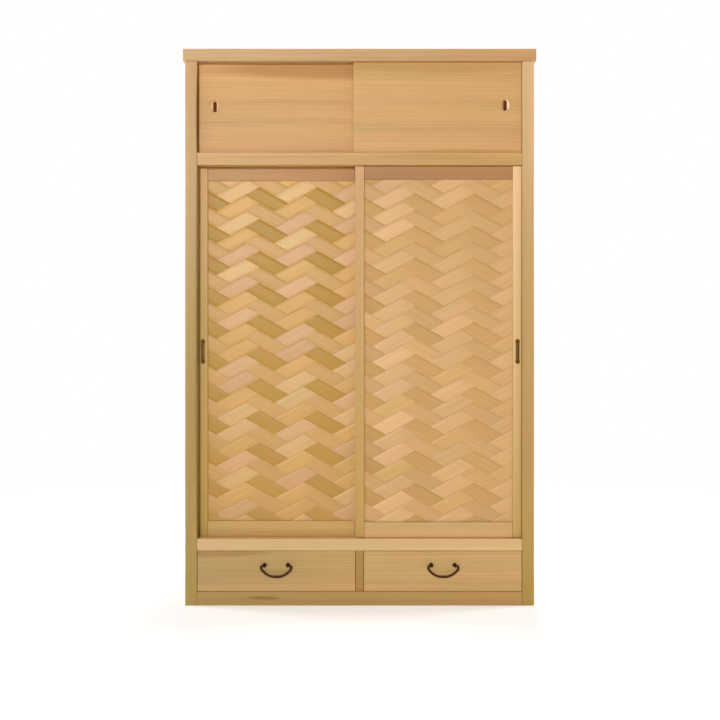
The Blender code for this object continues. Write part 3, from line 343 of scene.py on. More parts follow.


# Front rails
# The middle rail, the sill and the bottom rail are tenoned between the front posts, and the short divider
# stands between the drawers. The rails' upper faces are painted paler, a painted light on faces that turn up,
# and the bottom rail has one dark streak left of its middle.

planed_wood("mid_rail", "X", "Z", paint(204, 161, 108), paint(198, 160, 97), painted_top_light=0.5,
            streaks=[(-0.25, 1.365, 0.27, 0.0045, 0.2), (0.25, 1.366, 0.28, 0.012, 0.2)])
planed_wood("lower_sill", "X", "Z", paint(197, 164, 113), paint(208, 171, 118), painted_top_light=0.5, satin=0.6)
planed_wood("bottom_front_rail", "X", "Z", paint(174, 139, 87), paint(187, 143, 88), painted_top_light=0.6, lines=0.3,
            streaks=[(-0.292, 0.022, 0.062, 0.0065, 0.55)])
planed_wood("drawer_divider", "Z", "X", paint(177, 138, 76))


# Top board
# One thick board of glued planks caps the posts, and stands a little proud of them in front and at the ends.
# Its grain runs from side to side, and its ends show the rings.

planed_wood("top_board", "X", "Y", paint(203, 168, 122), paint(191, 149, 98), plank=0.16)


# Upper doors
# Two plain boards with lying grain slide in the tracks over the middle rail, the right one in front. Broad
# olive bands, darker than the rest of the board, cross them near an edge.

planed_wood("upper_left_door", "X", "Z", paint(206, 157, 103), ring=0.008,
            streaks=[(-0.12, 1.632, 0.40, 0.036, 0.46)], cut=7)
planed_wood("upper_right_door", "X", "Z", paint(203, 160, 104), ring=0.008,
            streaks=[(0.36, 1.379, 0.24, 0.012, 0.24), (0.2, 1.642, 0.42, 0.030, 0.27)])


# Upper pulls
# A small oblong wooden cup is let into each upper door, flush with its face. Its walls slope in to an upright
# slot for the fingertip. The slopes carry a painted highlight, strongest on the right cup's right slope, and
# the slot is painted dark as shade.

ROUND_STEPS = 24
SIDE_STEPS = 16


def oblong(half_width, half_height):
    """Points round an upright oblong: a straight side and a half circle, then both again, turned round."""
    turn = np.linspace(0, np.pi, ROUND_STEPS, endpoint=False)
    rise = np.linspace(-1, 1, SIDE_STEPS, endpoint=False)
    straight = half_height - half_width
    side = np.full(SIDE_STEPS, half_width)
    x = np.concatenate([side, half_width * np.cos(turn), -side, -half_width * np.cos(turn)])
    z = np.concatenate([straight * rise, straight + half_width * np.sin(turn)])
    return x, np.concatenate([z, -z])


def ring_at(x, z, depth, centre):
    """A ring of points at one depth, set about a centre."""
    return np.stack([centre[0] + x, np.full_like(x, depth), centre[2] + z], axis=-1)


def skin(rings):
    """A closed skin over rings of points: quads join each ring to the next, and fans close both ends."""
    count, around = rings.shape[:2]
    here = np.arange(around)
    after = (here + 1) % around
    base = np.arange(count - 1)[:, None] * around
    quads = np.stack([base + here, base + after, base + around + after, base + around + here], axis=-1)
    fans = []
    for pole, ring in ((count * around, 0), (count * around + 1, count - 1)):
        fans.append(np.stack([np.full(around, pole), ring * around + here, ring * around + after], axis=-1))
    points = np.vstack([rings.reshape(-1, 3), rings[0].mean(axis=0), rings[-1].mean(axis=0)])
    return points, [quads.reshape(-1, 4), np.vstack(fans)]


def join(shapes):
    """Several shapes as one: the faces of each count on from the points of those before it."""
    starts = np.cumsum([0] + [len(points) for points, faces in shapes])
    joined = np.vstack([points for points, faces in shapes])
    return joined, [group + start for (points, faces), start in zip(shapes, starts) for group in faces]


def new_piece(name, shape, material, body, slot, *nodes, sharp=35.0):
    """A finished piece on a body, in place of its solids: faces turned out, edges past the angle crisp."""
    points, faces = shape
    mesh = bpy.data.meshes.new(name)
    mesh.from_pydata(points.tolist(), [], [face for group in faces for face in group.tolist()])
    work = bmesh.new()
    work.from_mesh(mesh)
    bmesh.ops.recalc_face_normals(work, faces=work.faces)
    work.to_mesh(mesh)
    work.free()
    mesh.shade_smooth()
    mesh.set_sharp_from_angle(angle=math.radians(sharp))
    mesh.materials.append(material)
    piece = bpy.data.objects.new(name, mesh)
    bpy.context.scene.collection.objects.link(piece)
    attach(piece, body)
    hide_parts(*nodes)
    return piece


CUP_DEPTH = 0.009
CUP_SLOPE_DEPTH = 0.007
CUP_BELLY_DEPTH = 0.55 * CUP_SLOPE_DEPTH
CUP_RIM = 0.0018
CUP_LIP = 0.0009
CUP_LIP_TURN = 0.3 * CUP_LIP
CUP_MOUTH_TURN = 0.4 * CUP_LIP
CUP_FLOOR_TURN = 1.5 * CUP_LIP
CUP_SLOT_HALF = (0.0044, 0.0158)
CUP_FIBRE_ALONG = 60.0
CUP_FIBRE_ACROSS = 900.0
CUP_FIBRE_LIGHT = 0.3
CUP_ROUGHNESS = 0.6
SLOPE_BLEND = (-0.003, 0.003)
RIM_BLEND = (0.0002, 0.0012)
SLOT_BLEND = (0.0055, 0.0072)
PAINTED_SLOT_SHADE = paint(88, 46, 0)

# A cup's rim, its left slope and its right slope; the slopes' tones hold painted highlight and shade.
cup_tones = {
    "left": (paint(202, 157, 102), paint(231, 186, 131), paint(232, 190, 142)),
    "right": (paint(208, 163, 104), paint(201, 157, 99), paint(251, 210, 175)),
}


def cup_wood(name, face_y, middle_x, rim, left_slope, right_slope):
    """Fine wood, toned like the door at its rim, paler on one slope or both as a painted highlight, and
    painted dark in the slot as shade.
    """
    material, wire, shader = new_finish(name)
    x, y, z = wire.spot()
    fibre = wire.cloud(x * CUP_FIBRE_ACROSS, y * CUP_FIBRE_ACROSS, z * CUP_FIBRE_ALONG)
    depth = y - face_y
    colour = (x - middle_x).rise(*SLOPE_BLEND).between(left_slope, right_slope)
    colour = depth.rise(*RIM_BLEND).between(rim, colour)
    colour = depth.rise(*SLOT_BLEND).between(colour, PAINTED_SLOT_SHADE)
    wire.feed(shader, {
        "Base Color": colour.dimmed(1 + fibre * CUP_FIBRE_LIGHT),
        "Roughness": CUP_ROUGHNESS + fibre * FIBRE_ROUGHNESS,
        "Specular IOR Level": 0.1,
        "Normal": fibre.bump(strength=0.3, depth=0.0003),
    })
    return material


for side in ("left", "right"):
    node = f"upper_{side}_pull"
    low, high = np.array(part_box(node))
    centre = (low + high) / 2
    half = (high - low)[[0, 2]] / 2
    mouth = half - CUP_RIM
    slot = np.array(CUP_SLOT_HALF)
    # Each row is half a width and height and a depth behind the face, from the back round to the floor.
    rows = [
        (half, high[1] - low[1]),
        (half, CUP_LIP),
        (half - CUP_LIP_TURN, CUP_LIP_TURN),
        (half - CUP_LIP, 0.0),
        (mouth + CUP_MOUTH_TURN, 0.0),
        (mouth, CUP_MOUTH_TURN),
        ((mouth + slot) / 2, CUP_BELLY_DEPTH),
        (slot, CUP_SLOPE_DEPTH),
        (slot - CUP_LIP, CUP_DEPTH - CUP_LIP_TURN),
        (slot - CUP_FLOOR_TURN, CUP_DEPTH),
    ]
    rings = [ring_at(*oblong(*size), low[1] + depth, centre) for size, depth in rows]
    finish = cup_wood(f"upper_{side}_pull_wood", float(low[1]), float(centre[0]), *cup_tones[side])
    new_piece(f"{node}_cup", skin(np.array(rings)), finish, f"upper_{side}_sliding_door", "pull_wood", node)


# Lower door frames
# Each lower door is a frame of two stiles and two rails, mortised together. The rails lie a little behind the
# stiles' faces. The top rails are a redder wood, and the right door's outer stile is the palest.

frame_tones = {
    "lower_left_outer_stile": ("Z", "X", paint(179, 148, 75), paint(197, 156, 98)),
    "lower_left_inner_stile": ("Z", "X", paint(181, 144, 78), paint(195, 152, 96)),
    "lower_right_inner_stile": ("Z", "X", paint(187, 149, 84), paint(203, 156, 110)),
    "lower_right_outer_stile": ("Z", "X", paint(190, 157, 92), paint(226, 189, 145)),
    "lower_left_top_rail": ("X", "Z", paint(179, 136, 84), paint(172, 129, 78)),
    "lower_right_top_rail": ("X", "Z", paint(165, 124, 80), paint(167, 126, 81)),
    "lower_left_bottom_rail": ("X", "Z", paint(207, 165, 104), paint(207, 165, 104)),
    "lower_right_bottom_rail": ("X", "Z", paint(204, 165, 112), paint(204, 165, 112)),
}
for part, (length, face, tone, far_tone) in frame_tones.items():
    planed_wood(part, length, face, tone, far_tone, ring=FINE_RING)


# Woven panels
# Wide thin strips of split wood cross at a low slope, each over two and under two, so that their long tiles
# make a herringbone. A thin backing board behind them sits with them in the frame's grooves.

# The gap and the ease are shares of the strips' spacing, and the edge and the crown of a strip's thickness.
STRIP_RUN = 0.0448
STRIP_RISE = 0.0246
STRIP_THICK = 0.0008
STRIP_LIFT = 0.0006
STRIP_GAP = 0.010
STRIP_EASE = 0.012
STRIP_LEAST = 4 * STRIP_EASE
STRIP_EDGE = 0.35
STRIP_CROWN = 0.08
CROWN_AT = np.array([0.25, 0.5, 0.75])
CREST_POWER = 0.45
CROSSINGS_OVER = 2
STEPS_PER_CROSSING = 12


def over_under(phase):
    """Height from -1 to 1 of a strip that passes over two others and under two, its crests flattened."""
    wave = np.sin(np.pi * phase / CROSSINGS_OVER)
    return np.sign(wave) * np.abs(wave) ** CREST_POWER


def woven_strip(falling, number, corner, low, high):
    """One strip clipped to the panel: its section, a thin crowned bar with eased edges, carried along it.

    In lattice units the falling strips lie at a whole b and run along a, and the rising ones at a whole a
    and run along b, with x = (a + b) * run and z = (b - a) * rise. Each section point starts and ends where
    its own line meets the panel's edge. Gives the rings, their places along and across, and their height.
    """
    slope = -1 if falling else 1
    x_low, x_high = (low[0] - corner[0]) / STRIP_RUN, (high[0] - corner[0]) / STRIP_RUN
    z_low, z_high = (low[2] - corner[1]) / STRIP_RISE, (high[2] - corner[1]) / STRIP_RISE
    z_first, z_last = sorted([slope * z_low, slope * z_high])
    near = max(number + STRIP_GAP, (x_low - z_last) / 2 + STRIP_EASE)
    far = min(number + 1 - STRIP_GAP, (x_high - z_first) / 2 - STRIP_EASE)
    width = far - near
    if width < STRIP_LEAST:
        return None
    ease = STRIP_EASE / width
    crown = STRIP_CROWN * (1 - (2 * CROWN_AT - 1) ** 2)
    across = near + width * np.concatenate([[0, 0, ease], CROWN_AT, [1 - ease, 1, 1]])
    drop = STRIP_THICK * np.concatenate([[1, STRIP_EDGE, 0], -crown, [0, STRIP_EDGE, 1]])
    begin = np.maximum(x_low - across, across + z_first)
    end = np.minimum(x_high - across, across + z_last)
    steps = max(3, int(np.max(end - begin) * STEPS_PER_CROSSING))
    run = begin + (end - begin) * np.linspace(0, 1, steps)[:, None]
    side = np.broadcast_to(across, run.shape)
    height = over_under(run + number - (0 if falling else CROSSINGS_OVER))
    x = corner[0] + (run + side) * STRIP_RUN
    y = low[1] + STRIP_LIFT * (1 - height) + drop
    z = corner[1] + (run - side) * slope * STRIP_RISE
    return np.stack([x, y, z], axis=-1), run, side - number, height


# On a strip, ALONG and ACROSS are cells of noise to a crossing and to the strips' spacing.
STRIP_FIBRE_ALONG = 0.35
STRIP_FIBRE_ACROSS = 44.0
STRIP_FIBRE_LIGHT = 0.16
STRIP_BAND_ALONG = 0.2
STRIP_BAND_ACROSS = 7.0
STRIP_BAND_OFFSET = 3.0
STRIP_BAND_LIGHT = 0.14
STRIP_CAST_REACH = 0.2
STRIP_ROUGHNESS = 0.46
DIVE_SHADE = 0.04


def strip_wood(name):
    """Split wood in the colour that each strip carries, with fibres along it and a shade where it dives."""
    material, wire, shader = new_finish(name)
    tone = wire.make("ShaderNodeAttribute", {"attribute_name": "tone"}, out="Color")
    dive = wire.make("ShaderNodeAttribute", {"attribute_name": "dive"}, out="Fac")
    run, side = wire.make("ShaderNodeUVMap", {"uv_map": "strip"}).split()[:2]
    fibre = wire.cloud(run * STRIP_FIBRE_ALONG, side * STRIP_FIBRE_ACROSS, 0.0, detail=3.0)
    band = wire.cloud(run * STRIP_BAND_ALONG, side * STRIP_BAND_ACROSS, STRIP_BAND_OFFSET)
    cast = band.rise(-STRIP_CAST_REACH, STRIP_CAST_REACH).between(OLIVE_CAST, PINK_CAST)
    light = 1 + fibre * STRIP_FIBRE_LIGHT + band * STRIP_BAND_LIGHT - dive * DIVE_SHADE
    wire.feed(shader, {
        "Base Color": tone.tinted(cast).dimmed(light),
        "Roughness": STRIP_ROUGHNESS + fibre * FIBRE_ROUGHNESS,
        "Specular IOR Level": 0.2,
        "Normal": fibre.bump(strength=0.4, depth=0.0004),
        "Coat Weight": 0.1,
        "Coat Roughness": 0.34,
    })
    return material


# A crossing on each panel, in X and Z, from which its strips are counted.
weave_corners = {"left": (-0.3538, 1.2545), "right": (0.1268, 0.8869)}
weave_seed = {"left": 11, "right": 23}
# Falling strips take their tones in turn, and rising ones by chance. Rising strips are paler than falling
# ones, partly by their own tone and partly as a painted sheen of split wood, whose fibres meet the light
# differently in the two directions. The left panel's tones lie further apart than the right's, also painted
# sheen.
weave_tones = {
    "left": {
        "falling": (paint(175, 133, 53), paint(193, 150, 89)),
        "rising": (paint(203, 159, 111), paint(207, 167, 111), paint(202, 157, 90)),
    },
    "right": {
        "falling": (paint(198, 155, 100), paint(192, 149, 89)),
        "rising": (paint(208, 164, 113), paint(206, 163, 109), paint(203, 160, 99)),
    },
}
# The tones lie closer together at one end, a painted sheen that changes across the panel: along which axis,
# and their spread at its low and high end.
weave_fade = {"left": (2, 0.7, 1.2), "right": (0, 1.65, 0.74)}
STRIP_SPREAD = 0.03
SPARE_STRIPS = 20
# Each strip has a lane of the noise to itself, the rising ones far from the falling.
LANE_STEP = 3
RISING_LANE = 1000
BACKING_FRONT = 0.0027
BACKING_TONE = paint(200, 160, 108)
for side in ("left", "right"):
    node = f"lower_{side}_woven_panel"
    body = f"lower_{side}_sliding_door"
    low, high = np.array(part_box(node))
    draw = np.random.default_rng(weave_seed[side])
    groups = weave_tones[side]
    mean_tone = np.mean([np.mean(group, axis=0) for group in groups.values()], axis=0)
    axis, first_spread, last_spread = weave_fade[side]
    span = np.array([high[0] - low[0], high[2] - low[2]]) / (STRIP_RUN, STRIP_RISE)
    reach = int(span.sum() / 2) + SPARE_STRIPS
    shapes, tones, dives, places = [], [], [], []
    for falling in (True, False):
        for number in range(-reach, reach):
            made = woven_strip(falling, number, weave_corners[side], low, high)
            light = 1 + draw.normal(0, STRIP_SPREAD)
            pick = draw.integers(len(groups["rising"]))
            if made is None:
                continue
            rings, run, side_share, height = made
            shapes.append(skin(rings))
            tone = groups["falling"][number % len(groups["falling"])] if falling else groups["rising"][pick]
            own_tone = np.array(tone) * (light, light, light, 1)
            share = (shapes[-1][0][:, axis:axis + 1] - low[axis]) / (high[axis] - low[axis])
            spread = last_spread + (first_spread - last_spread) * (1 - share) ** 2
            tones.append(mean_tone + (own_tone - mean_tone) * spread)
            dives.append(np.append(1 - np.clip(height, 0, 1), [1, 1]))
            lane = number * LANE_STEP + (0 if falling else RISING_LANE)
            flat = np.stack([run, side_share + lane], axis=-1)
            places.append(np.vstack([flat.reshape(-1, 2), flat[0].mean(axis=0), flat[-1].mean(axis=0)]))
    corners_x = np.array([low[0], high[0], high[0], low[0]])
    corners_z = np.array([low[2], low[2], high[2], high[2]])
    faces_y = (low[1] + BACKING_FRONT, high[1])
    backing = np.vstack([ring_at(corners_x, corners_z, y, (0, 0, 0)) for y in faces_y])
    around = len(corners_x)
    here = np.arange(around)
    after = (here + 1) % around
    sheets = np.array([here, here + around])
    edges = np.stack([here, after, after + around, here + around], axis=-1)
    shapes.append((backing, [sheets, edges]))
    tones.append(np.tile(BACKING_TONE, (len(backing), 1)))
    dives.append(np.zeros(len(backing)))
    places.append(backing[:, [2, 0]] / STRIP_RUN)
    finish = strip_wood(f"lower_{side}_strip_wood")
    weave = new_piece(f"lower_{side}_weave", join(shapes), finish, body, "woven_wood", node, sharp=50.0)
    mesh = weave.data
    mesh.attributes.new("tone", "FLOAT_COLOR", "POINT").data.foreach_set("color", np.vstack(tones).ravel())
    mesh.attributes.new("dive", "FLOAT", "POINT").data.foreach_set("value", np.concatenate(dives))
    corner_points = np.zeros(len(mesh.loops), dtype=np.int32)
    mesh.loops.foreach_get("vertex_index", corner_points)
    uv = mesh.uv_layers.new(name="strip")
    uv.uv.foreach_set("vector", np.vstack(places)[corner_points].astype(np.float32).ravel())


# Long pulls
# A plate of aged bronze with round ends is pinned to each outer stile. It is drawn in a little between its
# two domed pins, and the walls of its narrow finger slot go back into the wood.

PULL_WALL = 0.001
PULL_PLATE = 0.0012
PULL_DEPTH = 0.008
PULL_SLOT_HALF = (0.0041, 0.025)
PULL_WAIST_SHARE = 0.8
PULL_WAIST_RUN = 0.6
PULL_PIN_RADIUS = 0.0044
PULL_PIN_RISE = 0.0015
PULL_EASE = 0.0004
PULL_FLOOR_EASE = 3 * PULL_EASE


def waisted(half_width, half_height, inset=0.0):
    """The plate's outline: an oblong drawn in smoothly between its round ends."""
    x, z = oblong(half_width - inset, half_height - inset)
    drawn = np.clip((half_height - half_width - np.abs(z)) / (PULL_WAIST_RUN * half_width), 0, 1)
    return x * (1 - (1 - PULL_WAIST_SHARE) * drawn ** 2 * (3 - 2 * drawn)), z


def turned(profile, centre, sides=48):
    """A profile of radii and depths, turned about a line along Y through the centre."""
    turn = np.linspace(0, 2 * np.pi, sides, endpoint=False)
    x, z = np.cos(turn), np.sin(turn)
    return skin(np.array([ring_at(radius * x, radius * z, depth, centre) for radius, depth in profile]))


def dome(radius, rise, base_y, steps=6):
    """Radii and depths of a low dome: a quarter turn from its rim to its crest."""
    turn = np.linspace(0, np.pi / 2, steps, endpoint=False)
    return np.stack([radius * np.cos(turn), base_y - rise * np.sin(turn)], axis=-1)


PIN_TONE = paint(90, 52, 3)
PULL_TONE = paint(124, 91, 40)
PIN_BLEND = (-0.0004, 0.0002)
MOTTLE_CELLS = 600.0
PATINA_CELLS = 130.0
MOTTLE = 0.4
PATINA = 0.4
BRONZE_ROUGHNESS = 0.5
BRONZE_METAL = 0.2


def aged_bronze(name, face_y):
    """Olive-brown bronze under old wax, with darker pins, mottled by fine and by broad noise."""
    material, wire, shader = new_finish(name)
    x, y, z = wire.spot()
    mottle = wire.cloud(x * MOTTLE_CELLS, y * MOTTLE_CELLS, z * MOTTLE_CELLS, detail=3.0)
    patina = wire.cloud(x * PATINA_CELLS, y * PATINA_CELLS, z * PATINA_CELLS)
    colour = (y - face_y).rise(*PIN_BLEND).between(PIN_TONE, PULL_TONE)
    wire.feed(shader, {
        "Base Color": colour.dimmed(1 + mottle * MOTTLE + patina * PATINA),
        "Roughness": BRONZE_ROUGHNESS + mottle * MOTTLE,
        "Metallic": BRONZE_METAL - patina * PATINA,
        "Specular IOR Level": 0.15,
        "Normal": mottle.bump(strength=0.3, depth=0.0003),
    })
    return material


for side in ("left", "right"):
    node = f"lower_{side}_pull"
    body = f"lower_{side}_sliding_door"
    low, high = np.array(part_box(node))
    centre = (low + high) / 2
    half_width, half_height = (high[0] - low[0]) / 2, (high[2] - low[2]) / 2
    seat = high[1] - PULL_WALL - PULL_DEPTH
    front = seat - PULL_PLATE
    slot = np.array(PULL_SLOT_HALF)
    # Each row is an outline and its depth, from the back of the cup over the plate to the slot's floor.
    rows = [
        (oblong(*slot), high[1]),
        (oblong(*slot + PULL_WALL), high[1] - PULL_WALL),
        (oblong(*slot + PULL_WALL), seat),
        (waisted(half_width, half_height), seat),
        (waisted(half_width, half_height), front + PULL_EASE),
        (waisted(half_width, half_height, PULL_EASE), front),
        (oblong(*slot + PULL_EASE), front),
        (oblong(*slot), front + PULL_EASE),
        (oblong(*slot - PULL_EASE), high[1] - 2 * PULL_WALL),
        (oblong(*slot - PULL_FLOOR_EASE), high[1] - PULL_WALL),
    ]
    shapes = [skin(np.array([ring_at(x, z, depth, centre) for (x, z), depth in rows]))]
    pin = np.vstack([[[PULL_PIN_RADIUS, seat]], dome(PULL_PIN_RADIUS, PULL_PIN_RISE, front)])
    for end in (half_width - half_height, half_height - half_width):
        shapes.append(turned(pin, centre + (0, 0, end)))
    finish = aged_bronze(f"lower_{side}_pull_bronze", float(front))
    new_piece(f"lower_{side}_finger_pull", join(shapes), finish, body, "dark_bronze", node)


# Drawers
# Each drawer is a planed front with plainer sides, back and bottom lapped and grooved into it. The grain of
# the fronts lies level, and the left one has a darker band at its upper left.

planed_wood("left_drawer_front", "X", "Z", paint(181, 148, 99), paint(194, 155, 99), ring=0.009, lines=0.3,
            streaks=[(-0.43, 0.160, 0.20, 0.0155, 0.36)], cut=3)
planed_wood("right_drawer_front", "X", "Z", paint(197, 159, 104), ring=0.009, lines=0.3)
for side in ("left", "right"):
    for part in ("outer_side", "inner_side"):
        planed_wood(f"{side}_drawer_{part}", "Y", "Z", paint(204, 168, 118), satin=LITTLE_OIL)
    planed_wood(f"{side}_drawer_back", "X", "Z", paint(204, 168, 118), satin=LITTLE_OIL)
    planed_wood(f"{side}_drawer_bottom", "X", "Y", paint(208, 174, 126), plank=0.12, satin=LITTLE_OIL)


# Handle posts
# Two turned iron posts stand in each drawer front: a shank in the wood, a flange against it, a neck, and a
# round head that the bail's pin goes into.

POST_HEAD = 0.0052
POST_HEAD_STEPS = 20
POST_NECK = 0.0031
POST_FILLET = 0.0008
POST_FLANGE = 0.0062
POST_FLANGE_THICK = 0.0014
POST_FLANGE_EASE = 0.0006
POST_FLANGE_ROUND = 0.0007
POST_SHANK = 0.003
POST_TIP = 0.8 * POST_SHANK
POST_TIP_EASE = 0.0006
POST_SEAT = 0.0003

HAMMER_CELLS = 260.0
SCALE_CELLS = 1100.0
SCALE_SHARE = 0.4
SCALE_HEIGHT = 0.3
SCALE_ROUGHNESS = 0.3
HAMMER_BLEND = (-0.1, 0.25)
HAMMER_POLISH = 0.2
HAMMER_METAL = 0.4
IRON_ROUGHNESS = 0.55
IRON_METAL = 0.3


def black_iron(name, hollow_tone, high_tone):
    """Forged iron under a brown-black wax, rubbed a little brighter where the hammer left it high."""
    material, wire, shader = new_finish(name)
    x, y, z = wire.spot()
    hammer = wire.cloud(x * HAMMER_CELLS, y * HAMMER_CELLS, z * HAMMER_CELLS)
    scale = wire.cloud(x * SCALE_CELLS, y * SCALE_CELLS, z * SCALE_CELLS)
    wire.feed(shader, {
        "Base Color": (hammer + scale * SCALE_SHARE).rise(*HAMMER_BLEND).between(hollow_tone, high_tone),
        "Roughness": IRON_ROUGHNESS + scale * SCALE_ROUGHNESS - hammer * HAMMER_POLISH,
        "Metallic": IRON_METAL + hammer * HAMMER_METAL,
        "Specular IOR Level": 0.15,
        "Normal": (hammer + scale * SCALE_HEIGHT).bump(strength=0.5, depth=0.0006),
    })
    return material


post_iron = black_iron("post_iron", paint(34, 15, 0), paint(60, 33, 5))
for side in ("left", "right"):
    face_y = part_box(f"{side}_drawer_front")[0][1]
    for end in ("outer", "inner"):
        node = f"{side}_handle_{end}_post"
        low, high = np.array(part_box(node))
        head_y = low[1] + POST_HEAD
        rim = face_y - POST_SEAT - POST_FLANGE_THICK
        swell = np.linspace(math.pi - math.asin(POST_NECK / POST_HEAD), 0, POST_HEAD_STEPS, endpoint=False)
        head = np.stack([POST_HEAD * np.sin(swell), head_y - POST_HEAD * np.cos(swell)], axis=-1)
        # Each row is a radius and a depth, from the shank's tip in the wood out to the neck.
        foot = [
            (POST_TIP, high[1]),
            (POST_SHANK, high[1] - POST_TIP_EASE),
            (POST_SHANK, face_y - POST_SEAT),
            (POST_FLANGE, face_y - POST_SEAT),
            (POST_FLANGE, rim + POST_FLANGE_ROUND),
            (POST_FLANGE - POST_FLANGE_EASE, rim),
            (POST_NECK + POST_FILLET, rim),
            (POST_NECK, rim - POST_FILLET),
        ]
        knob = turned(np.vstack([foot, head]), (low + high) / 2)
        new_piece(f"{side}_{end}_handle_knob", knob, post_iron, f"{side}_drawer", "dark_iron", node)


# Bails
# A forged iron bar with a pin at either end hangs from each pair of posts. It leaves the post outwards, curls
# down like a bracken frond and sweeps under in a full curve, a little stouter at the bottom.

BAIL_PIN = 0.0025
BAIL_PIN_END = 0.0315
BAIL_BAR = 0.0036
BAIL_STOUT = 0.0040
BAIL_CURL = ((0.0402, 0.0), (0.0439, -0.0016), (0.0453, -0.006), (0.0434, -0.0125))
BAIL_DROP = 0.0335
BAIL_SWEEP = (0.037, 0.027, 0.014)
BAIL_FULLNESS = 2.5
BAIL_STEPS = 10


def smooth_line(points, steps):
    """A smooth line through points: cubic stretches whose slope at a point is half its neighbours' step."""
    guide = np.vstack([2 * points[0] - points[1], points, 2 * points[-1] - points[-2]])
    t = np.linspace(0, 1, steps, endpoint=False)[:, None]
    before, here, there, beyond = (guide[k:len(guide) - 3 + k, None] for k in range(4))
    line = here + t * (there - before) / 2
    line = line + t ** 2 * (2 * before - 5 * here + 4 * there - beyond) / 2
    line = line + t ** 3 * (3 * here - before - 3 * there + beyond) / 2
    return np.vstack([line.reshape(-1, points.shape[1]), points[-1]])


def swept_bar(line, centre, sides=24):
    """A round bar carried along a line in the X and Z plane, as thick as the line's third value says."""
    slope = np.gradient(line[:, :2], axis=0)
    slope = slope / np.linalg.norm(slope, axis=1, keepdims=True)
    turn = np.linspace(0, 2 * np.pi, sides, endpoint=False)
    out = line[:, 2:3] * np.cos(turn)
    x = centre[0] + line[:, 0:1] - slope[:, 1:2] * out
    z = centre[2] + line[:, 1:2] + slope[:, 0:1] * out
    y = centre[1] + line[:, 2:3] * np.sin(turn)
    return skin(np.stack([x, y, z], axis=-1))


bail_iron = black_iron("bail_iron", paint(56, 29, 2), paint(92, 54, 12))
for side in ("left", "right"):
    node = f"{side}_bail"
    centre = np.array(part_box(node)).mean(axis=0)
    centre[2] = np.array(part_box(f"{side}_handle_outer_post")).mean(axis=0)[2]
    shoulder_x, shoulder_z = BAIL_CURL[-1]
    sweep_x = np.array(BAIL_SWEEP)
    sweep_z = (BAIL_DROP + shoulder_z) * (sweep_x / shoulder_x) ** BAIL_FULLNESS - BAIL_DROP
    # Each point is an X and a Z from the middle of the pins, and the bar's radius there.
    half_line = [(BAIL_PIN_END, 0.0, BAIL_PIN)]
    half_line += [(x, z, BAIL_PIN if z == 0 else BAIL_BAR) for x, z in BAIL_CURL]
    half_line += [(x, z, BAIL_BAR) for x, z in zip(sweep_x, sweep_z)]
    half_line = np.array(half_line)
    bottom = np.array([[0.0, -BAIL_DROP, BAIL_STOUT]])
    line = smooth_line(np.vstack([half_line * (-1, 1, 1), bottom, half_line[::-1]]), BAIL_STEPS)
    bar = swept_bar(line, centre)
    new_piece(f"{side}_bail_bar", bar, bail_iron, f"{side}_swinging_bail", "dark_iron", node)


# Stage
# A plain pale floor that fades to white, in a white studio. One soft lamp stands in front, a little to the
# left; weaker ones behind the front's plane light the sides, the top and the back, and the room and the floor
# fill in.

FLOOR_HALF = 30.0
FLOOR_FADE = (1.3, 3.2)
FLOOR_TONE = (0.85, 0.85, 0.85, 1.0)
FLOOR_GLOW = 0.45
FLOOR_BOUNCE = 0.4
floor_mesh = bpy.data.meshes.new("floor")
floor_corners = [(-FLOOR_HALF, -FLOOR_HALF, 0), (FLOOR_HALF, -FLOOR_HALF, 0), (FLOOR_HALF, FLOOR_HALF, 0),
                 (-FLOOR_HALF, FLOOR_HALF, 0)]
floor_mesh.from_pydata(floor_corners, [], [(0, 1, 2, 3)])
floor = bpy.data.objects.new("floor", floor_mesh)
bpy.context.scene.collection.objects.link(floor)

floor_paper, wire, shader = new_finish("floor_paper")
seen = wire.make("ShaderNodeLightPath", out="Is Camera Ray")
place = wire.make("ShaderNodeTexCoord", out="Object")
distance = wire.make("ShaderNodeVectorMath", {"operation": "LENGTH"}, {0: place}, out="Value")
matt = wire.make("ShaderNodeBsdfDiffuse", values={"Color": FLOOR_TONE})
glow = wire.make("ShaderNodeEmission", values={"Color": WHITE, "Strength": FLOOR_GLOW})
near = wire.make("ShaderNodeAddShader", values={0: glow, 1: matt})
far = wire.make("ShaderNodeEmission", values={"Color": WHITE, "Strength": 1.0})
shown = wire.make("ShaderNodeMixShader", values={0: distance.rise(*FLOOR_FADE), 1: near, 2: far})
bounce = wire.make("ShaderNodeEmission", values={"Color": WHITE, "Strength": FLOOR_BOUNCE})
lit = wire.make("ShaderNodeAddShader", values={0: bounce, 1: matt})
sheet = wire.make("ShaderNodeMixShader", values={0: seen, 1: lit, 2: shown})
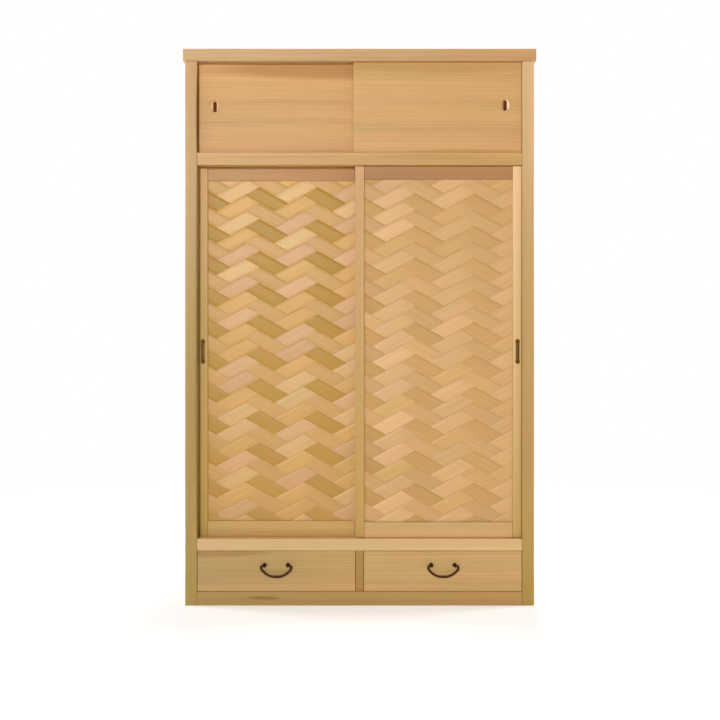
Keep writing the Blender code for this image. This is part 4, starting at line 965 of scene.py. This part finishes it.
wire.feed(floor_paper.node_tree.nodes["Material Output"], {"Surface": sheet})
floor_mesh.materials.append(floor_paper)

FILL = (0.2, 0.2, 0.2, 1.0)
studio = bpy.data.worlds.new("studio")
studio.use_nodes = True
bpy.context.scene.world = studio
wire = Wire(studio.node_tree)
path = wire.make("ShaderNodeLightPath", out="Is Camera Ray")
shown = path.high(path.sibling("Is Glossy Ray")).high(path.sibling("Is Transmission Ray"))
wire.feed(studio.node_tree.nodes["Background"], {"Color": shown.between(FILL, WHITE), "Strength": 1.0})

# Each lamp is a soft disk: where it stands, where it looks, how wide it is and its power in watts.
lamps = {
    "key": ((-1.4, -8.2, 2.4), (0.0, -0.2, 0.95), 1.2, 345.0),
    "left": ((-4.2, 0.9, 1.8), (0.0, 0.0, 0.85), 1.4, 92.0),
    "right": ((4.2, 0.9, 1.8), (0.0, 0.0, 0.85), 1.4, 92.0),
    "back": ((0.6, 4.6, 1.9), (0.0, 0.2, 0.85), 1.4, 100.0),
    "over": ((0.0, 0.8, 4.6), (0.0, 0.0, 0.0), 1.4, 60.0),
}
for name, (stand, look, width, power) in lamps.items():
    lamp = bpy.data.lights.new(name, "AREA")
    lamp.energy = power
    lamp.shape = "DISK"
    lamp.size = width
    lantern = bpy.data.objects.new(name, lamp)
    lantern.location = stand
    aim = np.array(look) - np.array(stand)
    tilt = math.atan2(math.hypot(aim[0], aim[1]), -aim[2])
    lantern.rotation_euler = (tilt, 0, math.atan2(-aim[0], aim[1]))
    bpy.context.scene.collection.objects.link(lantern)

CAMERA_STAND = (0.0012, -3.2171, 0.746)
CAMERA_LENS = 49.4
CAMERA_SENSOR = 36.0
lens = bpy.data.cameras.new("camera")
lens.lens = CAMERA_LENS
lens.sensor_width = CAMERA_SENSOR
camera = bpy.data.objects.new("camera", lens)
camera.location = CAMERA_STAND
camera.rotation_euler = (math.radians(90), 0, 0)
bpy.context.scene.collection.objects.link(camera)
bpy.context.scene.camera = camera
bpy.context.scene.view_settings.view_transform = "Standard"
